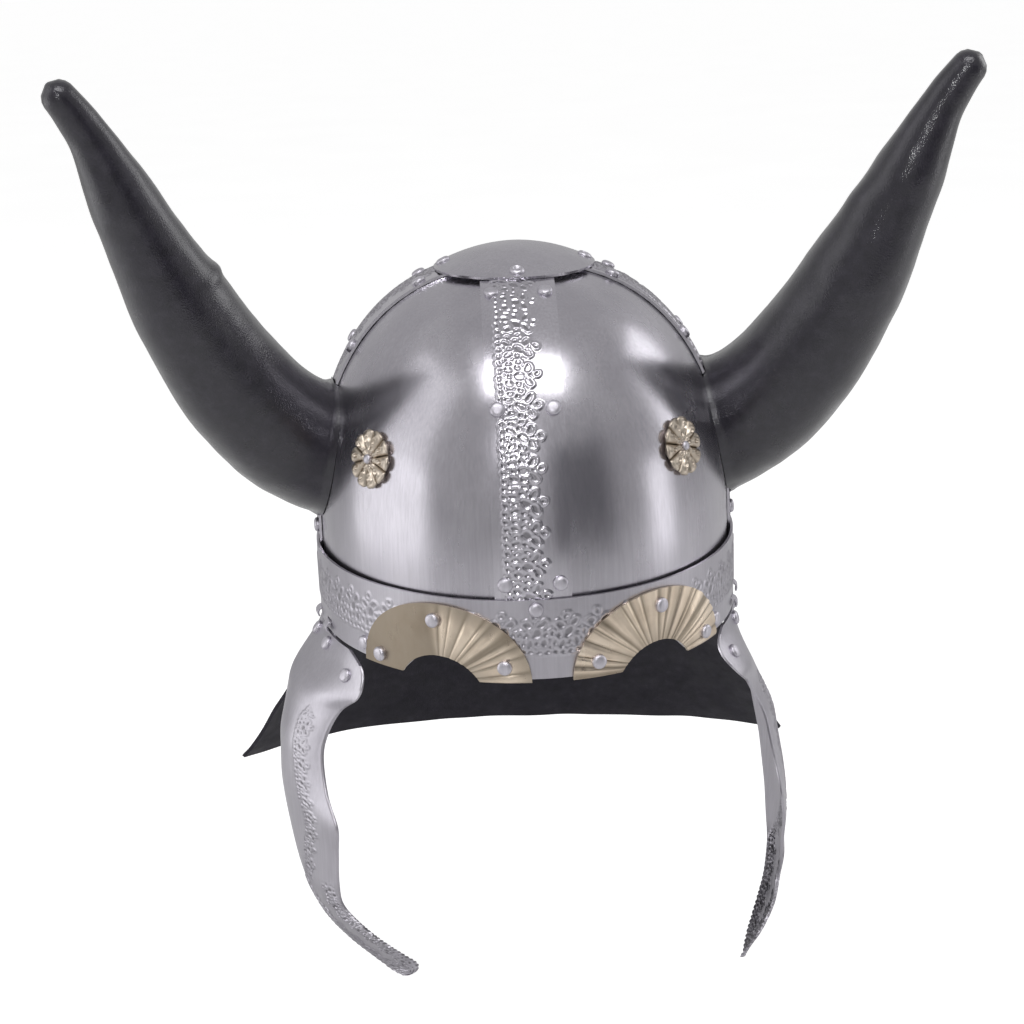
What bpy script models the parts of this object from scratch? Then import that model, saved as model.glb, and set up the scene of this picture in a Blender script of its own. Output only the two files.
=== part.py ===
"""A norse iron helmet: a riveted steel skull with brass brow plates, black leather horns, hinged cheek
guards and a flared leather neck guard. The wearer faces -Y, +Z is up, and the origin is on the skull's
axis at the level of the brow band's lower edge."""

import math
from collections import namedtuple

import bmesh
import bpy
from mathutils import Matrix, Vector

# Sheet metal
SHEET = 0.0012
GAP = 0.0003

# Modelling steps
PROBE = 0.001
WELD = 0.00001
SHARP_ANGLE = math.radians(40)
CUTTER_COLUMNS = 64
CUTTER_ROWS = 12
CUTTER_DEPTH = 0.012

# Skull, measured to the outer face of its four plates
SKULL_HALF_WIDTH = 0.1025
SKULL_HALF_LENGTH = 0.1165
SKULL_RISE = 0.136
SKULL_HEM = 0.010
CROWN_HOLE_ANGLE = 80.0
PROFILE_UP = 2.5
PROFILE_OUT = 2.35
PLATE_SEAM = 0.0006
PLATE_COLUMNS = 12
PLATE_ROWS = 7
SKULL_TURN = math.radians(-3.5)

# Cross bands, which cover the seams
BAND_WIDTH = 0.035
BAND_LIFT = GAP + SHEET
BAND_TOP_ANGLE = 77.0
BAND_HEM = 0.012
BAND_COLUMNS = 4
BAND_ROWS = 12
BAND_RIVET_SPREAD = 0.0125
FRONT_RIVET_SHARES = (0.941, 0.618, 0.0515)
SIDE_RIVET_SHARES = (0.941, 0.7206, 0.0588)

# Crown cap
CAP_HALF_WIDTH = 0.0395
CAP_HALF_LENGTH = 0.0435
CAP_RISE = 0.010
CAP_RIVET_SHARE = 0.88
CAP_SIDES = 28
CAP_RINGS = 3

# Brow band
BROW_HEIGHT = 0.038
BROW_COLUMNS = 72
BROW_INNER = BAND_LIFT + GAP
BROW_OUTER = BROW_INNER + SHEET
BROW_TOP_RIVET = 0.0335
CORNER_RIVET_TURN = 53.0
CORNER_RIVET_HEIGHT = 0.006
NECK_RIVET_TURNS = (124.0, 142.0, 161.0, 180.0)
NECK_RIVET_HEIGHT = 0.005

# Brow plates over the eye arches
PLATE_TURN = 28.5
PLATE_HALF_SPAN = 0.0445
PLATE_RISE = 0.036
PLATE_OVERHANG = 0.0012
ARCH_HALF_SPAN = 0.020
ARCH_RISE = 0.011
ARCH_MARGIN = 0.0006
ARCH_SIDES = 48
BRASS_SHEET = 0.0010
FLUTES = 18
FLUTE_DEPTH = 0.0006
PLATE_RIVETS = ((29.4, 0.027), (46.0, 0.0045), (11.6, 0.0065))

# Rosettes
ROSETTE_RADIUS = 0.0138
ROSETTE_AZIMUTH = 43.6
ROSETTE_SHARE = 0.4191
ROSETTE_HEIGHT = BROW_HEIGHT + SKULL_RISE * ROSETTE_SHARE
ROSETTE_THICKNESS = 0.0022
ROSETTE_HUB = 0.0028
PETALS = 10
PETAL_STEPS = 4
PETAL_NOTCH = 0.10
PETAL_CROWN = 0.0007
Ring = namedtuple("Ring", "share lift notch crown")
ROSETTE_RINGS = (Ring(1.0, 0.55, 1.0, 0.3), Ring(0.72, 1.0, 0.27, 1.0), Ring(0.42, 0.9, 0.03, 1.0))

# Rivet heads
RIVET_RADIUS = 0.0033
RIVET_HEIGHT = 0.0012
RIVET_SINK = 0.0006
RIVET_TOP_SHARE = 0.6
RIVET_SIDES = 10

# Horns
HORN_ROOT = (0.080, 0.006, 0.084)
HORN_BEND_LOW = (0.131, -0.024, 0.078)
HORN_BEND_HIGH = (0.162, -0.048, 0.171)
HORN_TIP = (0.199, -0.072, 0.270)
HORN_HOOK_START = 0.88
HORN_HOOK = (0.006, 0.0, -0.002)
HORN_RADIUS = 0.0355
HORN_STATIONS = 17
HORN_ROUNDNESS = 4
Girth = namedtuple("Girth", "along thickness")
HORN_GIRTHS = (
    Girth(0.00, 0.96),
    Girth(0.10, 0.96),
    Girth(0.22, 0.87),
    Girth(0.42, 0.80),
    Girth(0.61, 0.68),
    Girth(0.80, 0.46),
    Girth(0.93, 0.26),
    Girth(0.98, 0.20),
    Girth(1.00, 0.10),
)

# Cheek guards, in a frame with its origin at the middle of the hinge line
GUARD_LENGTH = 0.163
GUARD_REACH = 0.064
GUARD_STAND_OUT = 0.0215
GUARD_CROWN = 0.009
GUARD_CROWN_FADE = 0.85
GUARD_EASE_DEPTH = 0.030
GUARD_COLUMNS = 5
RIM_CURVE = 0.130
TIP_START = 0.70
TIP_CURL = 0.05

# How each guard hangs, with its turns along the rim in degrees
Hang = namedtuple("Hang", "hinge_turn sheet_turn twist shift")
GUARD_HANGS = {
    "left": Hang(79.0, 73.0, math.radians(13.4), 0.0044),
    "right": Hang(77.0, 71.0, math.radians(-14.6), -0.0044),
}
Section = namedtuple("Section", "rear_along rear_down front_along front_down")
GUARD_SECTIONS = (
    Section(-0.51, 0.014, 0.38, 0.014),
    Section(-0.50, 0.055, 0.56, 0.048),
    Section(-0.47, 0.100, 0.63, 0.090),
    Section(-0.44, 0.150, 0.61, 0.138),
    Section(-0.39, 0.205, 0.44, 0.190),
    Section(-0.33, 0.280, 0.37, 0.260),
    Section(-0.29, 0.365, 0.39, 0.345),
    Section(-0.26, 0.450, 0.48, 0.435),
    Section(-0.21, 0.540, 0.63, 0.520),
    Section(-0.13, 0.625, 0.61, 0.605),
    Section(-0.02, 0.720, 0.60, 0.705),
    Section(0.15, 0.800, 0.65, 0.795),
    Section(0.41, 0.890, 0.87, 0.850),
    Section(0.69, 0.960, 1.03, 0.905),
    Section(0.95, 1.000, 1.11, 0.965),
)
Bow = namedtuple("Bow", "down out")
GUARD_BOWS = (
    Bow(0.00, 0.00),
    Bow(0.07, 0.02),
    Bow(0.16, 0.16),
    Bow(0.31, 0.84),
    Bow(0.47, 1.02),
    Bow(0.63, 1.10),
    Bow(0.78, 1.10),
    Bow(0.86, 0.86),
    Bow(0.94, 0.34),
    Bow(1.00, -0.10),
)
LOBE_RIVET_ALONG = 0.028
LOBE_RIVET_DOWN = 0.014

# Hinge loops, which run through slots in the brow band
LOOP_SPACING = 0.024
LOOP_WIDTH = 0.006
LOOP_INNER = 0.0024
LOOP_OUTER = 0.0034
LOOP_SIDES = 14
LOOP_TAIL = 0.009
LOOP_TAIL_OUTER = 0.0004
LOOP_RIVET_DOWN = 0.0068
SLOT_WIDTH = 0.0076
SLOT_BOTTOM = 0.0032
SLOT_TOP = 0.0060
HINGE_HEIGHT = SLOT_BOTTOM / 2

# Neck guard
NECK_SHEET = 0.002
NECK_TOP = 0.0085
NECK_BEND = -0.001
NECK_START_TURN = 119.0
NECK_CORNER_OUT = 0.161
NECK_CORNER_BACK = 0.115
NECK_REACH = 0.160
NECK_DROP = 0.133
NECK_DIP = 0.0015
NECK_TILT = -0.003
NECK_SWEEP = math.radians(46.0)
NECK_SQUARENESS = 1.4
NECK_COLUMNS = 24
NECK_ROWS = 4

SIDES = {"left": -1, "right": 1}
LOOP_TAGS = ("rear", "front")
STEEL = ("steel", (0.36, 0.35, 0.37, 1.0), 0.22, 1.0)
BRASS = ("brass", (0.58, 0.49, 0.38, 1.0), 0.35, 1.0)
LEATHER = ("black_leather", (0.02, 0.02, 0.023, 1.0), 0.45, 0.0)


def clear_scene():
    for obj in list(bpy.data.objects):
        bpy.data.objects.remove(obj, do_unlink=True)


def new_collection(name):
    made = bpy.data.collections.new(name)
    bpy.context.scene.collection.children.link(made)
    return made


def material(name, colour, roughness, metallic):
    made = bpy.data.materials.new(name)
    made.use_nodes = True
    surface = made.node_tree.nodes["Principled BSDF"]
    surface.inputs["Base Color"].default_value = colour
    surface.inputs["Roughness"].default_value = roughness
    surface.inputs["Metallic"].default_value = metallic
    return made


def add_object(name, mesh, look):
    obj = bpy.data.objects.new(name, mesh)
    HELMET.objects.link(obj)
    obj.data.materials.append(look)
    obj.data.shade_smooth()
    obj.data.set_sharp_from_angle(angle=SHARP_ANGLE)
    return obj


def add_helper(name, mesh):
    """A cutter or a set of rivet heads, which isn't a piece of its own."""
    obj = bpy.data.objects.new(name, mesh)
    HELPERS.objects.link(obj)
    obj.hide_render = True
    obj.display_type = "WIRE"
    return obj


def mesh_from(bm, name):
    mesh = bpy.data.meshes.new(name)
    bm.to_mesh(mesh)
    bm.free()
    return mesh


def close_up(bm):
    """Turns a closed shape's faces outwards."""
    bm.normal_update()
    bmesh.ops.recalc_face_normals(bm, faces=bm.faces[:])


def boolean(obj, other, operation):
    cut = obj.modifiers.new(other.name, "BOOLEAN")
    cut.operation = operation
    cut.solver = "EXACT"
    cut.object = other


def solidify(obj, thickness):
    """Thickens a sheet inwards from its outer face."""
    shell = obj.modifiers.new("thickness", "SOLIDIFY")
    shell.thickness = thickness
    shell.offset = -1.0
    shell.use_even_offset = True


def table_value(rows, key, value, at):
    """Reads a smooth value from a short table at a place between its rows."""
    for low, high in zip(rows, rows[1:]):
        start, end = getattr(low, key), getattr(high, key)
        if at <= end:
            share = max(0.0, (at - start) / (end - start))
            ease = share * share * (3 - 2 * share)
            blend = (share + ease) / 2
            return getattr(low, value) * (1 - blend) + getattr(high, value) * blend
    return getattr(rows[-1], value)


# The skull's surface
def skull_level(angle, stand_off):
    """Height and share of the full width, at an angle of climb from the brow band's top edge."""
    climb = math.radians(angle)
    height = BROW_HEIGHT + (SKULL_RISE + stand_off) * math.sin(climb) ** (2 / PROFILE_UP)
    return height, math.cos(climb) ** (2 / PROFILE_OUT)


def skull_levels(hem, top_angle, rows, stand_off):
    """Heights and shares from a hem below the brow band's top edge up to an angle of climb."""
    return [(hem, 1.0)] + [skull_level(top_angle * i / rows, stand_off) for i in range(rows + 1)]


def share_at(height, stand_off):
    """The share of the full width at a height."""
    climbed = max(0.0, height - BROW_HEIGHT) / (SKULL_RISE + stand_off)
    return max(0.0, 1 - climbed**PROFILE_UP) ** (1 / PROFILE_OUT)


def plan_point(azimuth, lateral, share, height, stand_off):
    """The point of the skull's surface that lies beside the line out at this azimuth."""
    half_width = (SKULL_HALF_WIDTH + stand_off) * share
    half_length = (SKULL_HALF_LENGTH + stand_off) * share
    out = Vector((math.sin(azimuth), -math.cos(azimuth)))
    aside = Vector((math.cos(azimuth), math.sin(azimuth))) * lateral
    a = (out.x / half_width) ** 2 + (out.y / half_length) ** 2
    b = out.x * aside.x / half_width**2 + out.y * aside.y / half_length**2
    c = (aside.x / half_width) ** 2 + (aside.y / half_length) ** 2 - 1
    reach = (-b + math.sqrt(b * b - a * c)) / a
    return Vector((*(aside + out * reach), height))


def skull_point(azimuth, lateral, height, stand_off):
    return plan_point(azimuth, lateral, share_at(height, stand_off), height, stand_off)


def ring_point(turn, height, stand_off):
    """A point on the brow band's upright oval, by its turn in degrees from the front."""
    angle = math.radians(turn)
    half_width = SKULL_HALF_WIDTH + stand_off
    half_length = SKULL_HALF_LENGTH + stand_off
    return Vector((half_width * math.sin(angle), -half_length * math.cos(angle), height))


def ring_normal(turn):
    angle = math.radians(turn)
    return Vector(
        (math.sin(angle) / SKULL_HALF_WIDTH, -math.cos(angle) / SKULL_HALF_LENGTH, 0)
    ).normalized()


def skull_normal(azimuth, height, stand_off):
    low = skull_point(azimuth, 0, height - PROBE, stand_off)
    high = skull_point(azimuth, 0, height + PROBE, stand_off)
    left = skull_point(azimuth, -PROBE, height, stand_off)
    right = skull_point(azimuth, PROBE, height, stand_off)
    return (right - left).cross(high - low).normalized()


# Building blocks
def grid_sheet(name, rows, look, inside, thickness=SHEET, closed=False):
    """A sheet through rows of points, thickened towards the inside point."""
    bm = bmesh.new()
    verts = [[bm.verts.new(point) for point in row] for row in rows]
    for low, high in zip(verts, verts[1:]):
        pairs = list(zip(low, low[1:], high[1:], high))
        if closed:
            pairs.append((low[-1], low[0], high[0], high[-1]))
        for corners in pairs:
            bm.faces.new(corners)
    face_away(bm, inside)
    obj = add_object(name, mesh_from(bm, name), look)
    solidify(obj, thickness)
    return obj


def face_away(bm, inside):
    """Turns the whole sheet so that its faces look away from the inside point."""
    bm.normal_update()
    outward = sum(face.normal.dot(face.calc_center_median() - inside) for face in bm.faces)
    if outward < 0:
        bmesh.ops.reverse_faces(bm, faces=bm.faces[:])


def upright(normal):
    """A turn that takes +Z to the normal."""
    return normal.to_track_quat("Z", "Y").to_matrix().to_4x4()


def add_rivet(bm, point, normal):
    """One flat-domed rivet head, sunk a little into the sheet that it holds."""
    centre = point + normal * (RIVET_HEIGHT - RIVET_SINK) / 2
    bmesh.ops.create_cone(
        bm,
        cap_ends=True,
        segments=RIVET_SIDES,
        radius1=RIVET_RADIUS,
        radius2=RIVET_RADIUS * RIVET_TOP_SHARE,
        depth=RIVET_HEIGHT + RIVET_SINK,
        matrix=Matrix.Translation(centre) @ upright(normal),
    )


def set_rivets(obj, places):
    """Joins rivet heads to a piece, at pairs of point and outward normal."""
    bm = bmesh.new()
    for point, normal in places:
        add_rivet(bm, point, normal)
    boolean(obj, add_helper(obj.name + "_rivets", mesh_from(bm, obj.name + "_rivets")), "UNION")


# Skull plates and the bands across them
def skull_plate(name, quarter):
    """A quarter of the skull, between the middle planes of two bands."""
    start = quarter * math.pi / 2 + SKULL_TURN
    points = []
    for height, share in skull_levels(SKULL_HEM, CROWN_HOLE_ANGLE, PLATE_ROWS, 0):
        line = []
        for i in range(PLATE_COLUMNS + 1):
            azimuth = start + i / PLATE_COLUMNS * math.pi / 2
            line.append(plan_point(azimuth, 0, share, height, 0))
        line[0] = plan_point(start, PLATE_SEAM / 2, share, height, 0)
        line[-1] = plan_point(start + math.pi / 2, -PLATE_SEAM / 2, share, height, 0)
        points.append(line)
    return grid_sheet(name, points, LOOKS["steel"], Vector((0, 0, BROW_HEIGHT)))


def strip_rows(azimuth, half_width, stand_off):
    """The rows of a strip that climbs the skull, as wide all the way up."""
    levels = skull_levels(BAND_HEM, BAND_TOP_ANGLE, BAND_ROWS, stand_off)
    laterals = [half_width * (2 * i / BAND_COLUMNS - 1) for i in range(BAND_COLUMNS + 1)]
    return [
        [plan_point(azimuth, lateral, share, height, stand_off) for lateral in laterals]
        for height, share in levels
    ]


def cross_band(name, quarter, rivet_shares):
    azimuth = quarter * math.pi / 2 + SKULL_TURN
    rows = strip_rows(azimuth, BAND_WIDTH / 2, BAND_LIFT)
    band = grid_sheet(name, rows, LOOKS["steel"], Vector((0, 0, BROW_HEIGHT)))
    places = []
    for share in rivet_shares:
        height = BROW_HEIGHT + SKULL_RISE * share
        normal = skull_normal(azimuth, height, BAND_LIFT)
        for lateral in (-BAND_RIVET_SPREAD, BAND_RIVET_SPREAD):
            places.append((skull_point(azimuth, lateral, height, BAND_LIFT), normal))
    set_rivets(band, places)
    return band


def cap_height(share):
    """The cap's outer face, at a share of the way from its middle to its rim."""
    rim = (CAP_HALF_WIDTH - SHEET) / (SKULL_HALF_WIDTH + BAND_LIFT)
    climbed = (1 - rim**PROFILE_OUT) ** (1 / PROFILE_UP)
    rim_height = BROW_HEIGHT + (SKULL_RISE + BAND_LIFT) * climbed
    return rim_height + GAP + SHEET + CAP_RISE * (1 - share * share)


def cap_point(azimuth, share):
    return Vector(
        (
            CAP_HALF_WIDTH * share * math.sin(azimuth),
            -CAP_HALF_LENGTH * share * math.cos(azimuth),
            cap_height(share),
        )
    )


def add_ring(bm, outer, inner):
    """Faces between two loops of as many points."""
    for i, vert in enumerate(outer):
        j = (i + 1) % len(outer)
        bm.faces.new((vert, outer[j], inner[j], inner[i]))


def crown_cap():
    bm = bmesh.new()
    bmesh.ops.create_circle(bm, cap_ends=False, segments=CAP_SIDES, radius=1.0)
    rim = list(bm.verts)
    middle = bm.verts.new((0, 0, 0))
    loops = [rim]
    for ring in range(1, CAP_RINGS):
        share = 1 - ring / CAP_RINGS
        loops.append([bm.verts.new(vert.co * share) for vert in rim])
    for outer, inner in zip(loops, loops[1:]):
        add_ring(bm, outer, inner)
    for i in range(CAP_SIDES):
        bm.faces.new((loops[-1][i], loops[-1][(i + 1) % CAP_SIDES], middle))
    for vert in bm.verts:
        share = vert.co.length
        vert.co = Vector(
            (CAP_HALF_WIDTH * vert.co.x, CAP_HALF_LENGTH * vert.co.y, cap_height(share))
        )
    face_away(bm, Vector((0, 0, BROW_HEIGHT)))
    cap = add_object("crown_cap", mesh_from(bm, "crown_cap"), LOOKS["steel"])
    solidify(cap, SHEET)
    places = []
    for quarter in range(4):
        azimuth = quarter * math.pi / 2 + SKULL_TURN
        point = cap_point(azimuth, CAP_RIVET_SHARE)
        slope = 2 * CAP_RISE * CAP_RIVET_SHARE / CAP_HALF_WIDTH
        out = Vector((math.sin(azimuth), -math.cos(azimuth), 0))
        places.append((point, (out * slope + Vector((0, 0, 1))).normalized()))
    set_rivets(cap, places)
    return cap


# Brow band and the brass plates over its eye arches
def arch_circle(margin):
    """Radius and centre height of the arc that spans an eye arch."""
    span, rise = ARCH_HALF_SPAN + margin, ARCH_RISE + margin
    radius = (span * span + rise * rise) / (2 * rise)
    return radius, rise - PLATE_OVERHANG - radius


def arch_cutter(name, turn):
    """An upright cylinder lying along the local outward line, which cuts the arch."""
    radius, centre_height = arch_circle(ARCH_MARGIN)
    middle = ring_point(turn, centre_height, BROW_INNER)
    bm = bmesh.new()
    bmesh.ops.create_cone(
        bm,
        cap_ends=True,
        segments=ARCH_SIDES,
        radius1=radius,
        radius2=radius,
        depth=2 * ARCH_HALF_SPAN,
        matrix=Matrix.Translation(middle) @ upright(ring_normal(turn)),
    )
    return add_helper(name, mesh_from(bm, name))


def slot_cutter(name, place, along):
    """A box that cuts the slot for one hinge loop."""
    out = Vector((0, 0, 1)).cross(along)
    bm = bmesh.new()
    bmesh.ops.create_cube(bm, size=1.0)
    turn = Matrix((along, out, Vector((0, 0, 1)))).transposed().to_4x4()
    size = Matrix.Diagonal((SLOT_WIDTH, CUTTER_DEPTH, SLOT_TOP - SLOT_BOTTOM, 1))
    middle = Vector((place.x, place.y, (SLOT_TOP + SLOT_BOTTOM) / 2))
    bm.transform(Matrix.Translation(middle) @ turn @ size)
    close_up(bm)
    return add_helper(name, mesh_from(bm, name))


def brow_band():
    turns = [360 * i / BROW_COLUMNS for i in range(BROW_COLUMNS)]
    rows = []
    for height in (0, BROW_HEIGHT / 2, BROW_HEIGHT):
        rows.append([ring_point(turn, height, BROW_OUTER) for turn in turns])
    band = grid_sheet(
        "brow_band", rows, LOOKS["steel"], Vector((0, 0, BROW_HEIGHT / 2)), closed=True
    )
    for side, sign in SIDES.items():
        boolean(band, arch_cutter("eye_arch_" + side, sign * PLATE_TURN), "DIFFERENCE")
        for tag, place in zip(LOOP_TAGS, hinge_centres(side)):
            cutter = slot_cutter(f"loop_slot_{side}_{tag}", place, hinge_line(side)[1])
            boolean(band, cutter, "DIFFERENCE")
    turns = [(math.degrees(SKULL_TURN) + quarter * 180, BROW_TOP_RIVET) for quarter in (0, 1)]
    turns += [(sign * CORNER_RIVET_TURN, CORNER_RIVET_HEIGHT) for sign in (-1, 1)]
    turns += [(turn, NECK_RIVET_HEIGHT) for turn in NECK_RIVET_TURNS]
    turns += [(-turn, NECK_RIVET_HEIGHT) for turn in NECK_RIVET_TURNS[:-1]]
    places = [(ring_point(turn, height, BROW_OUTER), ring_normal(turn)) for turn, height in turns]
    set_rivets(band, places)
    return band


def turn_at(middle_turn, along):
    """The turn that lies this far along the ring from a middle turn."""
    angle = math.radians(middle_turn)
    pace = math.hypot(
        (SKULL_HALF_WIDTH + BROW_OUTER) * math.cos(angle),
        (SKULL_HALF_LENGTH + BROW_OUTER) * math.sin(angle),
    )
    return middle_turn + math.degrees(along / pace)


def brow_plate(name, sign):
    """A fan of fluted brass between the eye arch and a half oval."""
    radius, centre_height = arch_circle(0)
    low = math.asin(-(centre_height + PLATE_OVERHANG) / radius)
    columns, rings = FLUTES * 2, 2
    rows = []
    for ring in range(rings + 1):
        share = ring / rings
        line = []
        for i in range(columns + 1):
            fan = i / columns
            inner = low + (math.pi - 2 * low) * fan
            outer = math.pi * fan
            along = radius * math.cos(inner) * (1 - share)
            along += PLATE_HALF_SPAN * math.cos(outer) * share
            height = (centre_height + radius * math.sin(inner)) * (1 - share)
            height += (PLATE_RISE * math.sin(outer) - PLATE_OVERHANG) * share
            flute = FLUTE_DEPTH * share if i % 2 else 0.0
            stand_off = BROW_OUTER + GAP + BRASS_SHEET + flute
            line.append(ring_point(turn_at(sign * PLATE_TURN, along), height, stand_off))
        rows.append(line)
    plate = grid_sheet(
        name, rows, LOOKS["brass"], Vector((0, 0, BROW_HEIGHT / 2)), thickness=BRASS_SHEET
    )
    places = []
    for turn, height in PLATE_RIVETS:
        stand_off = BROW_OUTER + GAP + BRASS_SHEET
        places.append((ring_point(sign * turn, height, stand_off), ring_normal(sign * turn)))
    set_rivets(plate, places)
    return plate


# Rosettes
def rosette(name, sign):
    """A ten-petalled flower with a raised hub, lying against a front plate."""
    steps = PETALS * PETAL_STEPS
    azimuth = sign * math.radians(ROSETTE_AZIMUTH) + SKULL_TURN
    normal = skull_normal(azimuth, ROSETTE_HEIGHT, 0)
    place = skull_point(azimuth, 0, ROSETTE_HEIGHT, 0) + normal * GAP
    bm = bmesh.new()
    bmesh.ops.create_circle(bm, cap_ends=False, segments=steps, radius=1.0)
    loops = [list(bm.verts)]
    for ring in ROSETTE_RINGS[1:]:
        loops.append([bm.verts.new(vert.co * ring.share) for vert in loops[0]])
    base = [bm.verts.new(vert.co.copy()) for vert in loops[0]]
    for loop, ring in zip(loops, ROSETTE_RINGS):
        for i, vert in enumerate(loop):
            petal = abs(math.sin(math.pi * PETALS * i / steps))
            edge = 1 - PETAL_NOTCH * (1 - petal) * ring.notch
            vert.co = Vector((vert.co.x, vert.co.y, 0)) * ROSETTE_RADIUS * edge
            vert.co.z = ROSETTE_THICKNESS * ring.lift + PETAL_CROWN * petal * ring.crown
    for vert, top in zip(base, loops[0]):
        vert.co = Vector((top.co.x, top.co.y, 0))
    for outer, inner in zip([base] + loops, loops):
        add_ring(bm, outer, inner)
    bm.faces.new(loops[-1])
    bm.faces.new(base[::-1])
    close_up(bm)
    flower = add_object(name, mesh_from(bm, name), LOOKS["brass"])
    flower.matrix_world = Matrix.Translation(place) @ upright(normal)
    hub = bmesh.new()
    bmesh.ops.create_uvsphere(hub, u_segments=12, v_segments=6, radius=ROSETTE_HUB)
    hub.transform(flower.matrix_world @ Matrix.Translation((0, 0, ROSETTE_THICKNESS)))
    boolean(flower, add_helper(name + "_hub", mesh_from(hub, name + "_hub")), "UNION")
    return flower


# Horns
def horn_centre(share, sign):
    """A point of the horn's centre line, a cubic curve through its four named places."""
    places = (HORN_ROOT, HORN_BEND_LOW, HORN_BEND_HIGH, HORN_TIP)
    weights = (
        (1 - share) ** 3,
        3 * (1 - share) ** 2 * share,
        3 * (1 - share) * share**2,
        share**3,
    )
    point = sum((Vector(place) * weight for place, weight in zip(places, weights)), Vector())
    hook = max(0.0, share - HORN_HOOK_START) / (1 - HORN_HOOK_START)
    point += Vector(HORN_HOOK) * hook * hook
    return Vector((point.x * sign, point.y, point.z))


def horn(name, sign, skull_cutter, band_cutter):
    line = bpy.data.curves.new(name, "CURVE")
    line.dimensions = "3D"
    line.bevel_depth = HORN_RADIUS
    line.bevel_resolution = HORN_ROUNDNESS
    line.use_fill_caps = True
    spline = line.splines.new("POLY")
    spline.points.add(HORN_STATIONS - 1)
    for i, point in enumerate(spline.points):
        share = i / (HORN_STATIONS - 1)
        point.co = (*horn_centre(share, sign), 1)
        point.radius = table_value(HORN_GIRTHS, "along", "thickness", share)
    obj = add_object(name, solid_from_curve(line, Matrix.Identity(4)), LOOKS["black_leather"])
    boolean(obj, skull_cutter, "DIFFERENCE")
    boolean(obj, band_cutter, "DIFFERENCE")
    return obj


def skull_solid_cutter():
    """The whole skull as a solid, a gap proud of its plates."""
    bm = bmesh.new()
    verts = []
    for height, share in skull_levels(0, CROWN_HOLE_ANGLE, CUTTER_ROWS, GAP):
        line = []
        for i in range(CUTTER_COLUMNS):
            point = ring_point(360 * i / CUTTER_COLUMNS, height, GAP)
            line.append(bm.verts.new((point.x * share, point.y * share, height)))
        verts.append(line)
    for low, high in zip(verts, verts[1:]):
        add_ring(bm, low, high)
    bm.faces.new(verts[0][::-1])
    bm.faces.new(verts[-1])
    close_up(bm)
    return add_helper("skull_cutter", mesh_from(bm, "skull_cutter"))


def band_cutter(name, quarter):
    """A side band and the gap round it, for the horn's foot to fit over."""
    azimuth = quarter * math.pi / 2 + SKULL_TURN
    rows = strip_rows(azimuth, BAND_WIDTH / 2 + GAP, BAND_LIFT + GAP)
    depth = BAND_LIFT + SHEET + GAP
    cutter = grid_sheet(name, rows, LOOKS["steel"], Vector((0, 0, BROW_HEIGHT)), depth)
    HELMET.objects.unlink(cutter)
    HELPERS.objects.link(cutter)
    cutter.hide_render = True
    cutter.display_type = "WIRE"
    return cutter


# Cheek guards and their hinges
def rim_line(sign, turn):
    """A short straight line along the brow band's middle: its middle and its forward direction."""
    stand_off = (BROW_INNER + BROW_OUTER) / 2
    middle_turn = sign * turn
    angle = math.radians(middle_turn)
    pace = math.hypot(
        (SKULL_HALF_WIDTH + stand_off) * math.cos(angle),
        (SKULL_HALF_LENGTH + stand_off) * math.sin(angle),
    )
    reach = math.degrees(LOOP_SPACING / 2 / pace)
    front = ring_point(middle_turn - sign * reach, HINGE_HEIGHT, stand_off)
    rear = ring_point(middle_turn + sign * reach, HINGE_HEIGHT, stand_off)
    return (front + rear) / 2, (front - rear).normalized()


def hinge_line(side):
    return rim_line(SIDES[side], GUARD_HANGS[side].hinge_turn)


def hinge_centres(side):
    """The centres of the rear and the front hinge loop."""
    middle, forward = hinge_line(side)
    return [middle + forward * end * LOOP_SPACING / 2 for end in (-1, 1)]


def guard_ease(down):
    """How far the guard has left the line of the rim, from 0 at the rim to 1."""
    share = min(1.0, down / GUARD_EASE_DEPTH)
    return share * share * (3 - 2 * share)


def guard_point(side, along, down, across):
    """A point of a guard's outer face, by its place along the hinge line, below the rim and across."""
    sign = SIDES[side]
    hang = GUARD_HANGS[side]
    middle, forward = rim_line(sign, hang.sheet_turn)
    outward = Vector((0, 0, 1)).cross(forward) * sign
    eased = guard_ease(down)
    share = down / GUARD_LENGTH
    curl = TIP_CURL * across * max(0.0, share - TIP_START) / (1 - TIP_START)
    bow = GUARD_STAND_OUT * table_value(GUARD_BOWS, "down", "out", share + curl)
    crown = GUARD_CROWN * 4 * across * (1 - across) * (1 - GUARD_CROWN_FADE * share)
    rim_sag = along * along / (2 * RIM_CURVE)
    twist = Matrix.Rotation(-sign * hang.twist * eased, 3, "Z")
    stand_out = bow + (crown + hang.shift) * eased - rim_sag * (1 - eased) + SHEET / 2
    flat = forward * along + outward * stand_out
    return Vector((middle.x, middle.y, -down)) + twist @ flat


def guard_rows(side):
    rows = []
    for section in GUARD_SECTIONS:
        line = []
        for i in range(GUARD_COLUMNS + 1):
            share = i / GUARD_COLUMNS
            along = section.rear_along * (1 - share) + section.front_along * share
            down = section.rear_down * (1 - share) + section.front_down * share
            line.append(guard_point(side, along * GUARD_REACH, down * GUARD_LENGTH, share))
        rows.append(line)
    return rows


def strap_outline():
    """Side view of a hinge strap: a ring round the hinge line, and a flat tail that hangs from it."""
    step = 2 * math.pi / LOOP_SIDES
    angles = [math.pi * 1.5 + step * (i + 1) for i in range(LOOP_SIDES - 1)]
    ring = [(LOOP_OUTER * math.cos(a), LOOP_OUTER * math.sin(a)) for a in angles]
    inner = ring[-1][0]
    slope = (ring[0][1] + LOOP_OUTER) / ring[0][0]
    foot = -HINGE_HEIGHT - LOOP_TAIL
    tail = [(inner, foot), (LOOP_TAIL_OUTER, foot)]
    return ring + tail + [(LOOP_TAIL_OUTER, slope * LOOP_TAIL_OUTER - LOOP_OUTER)]


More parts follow.
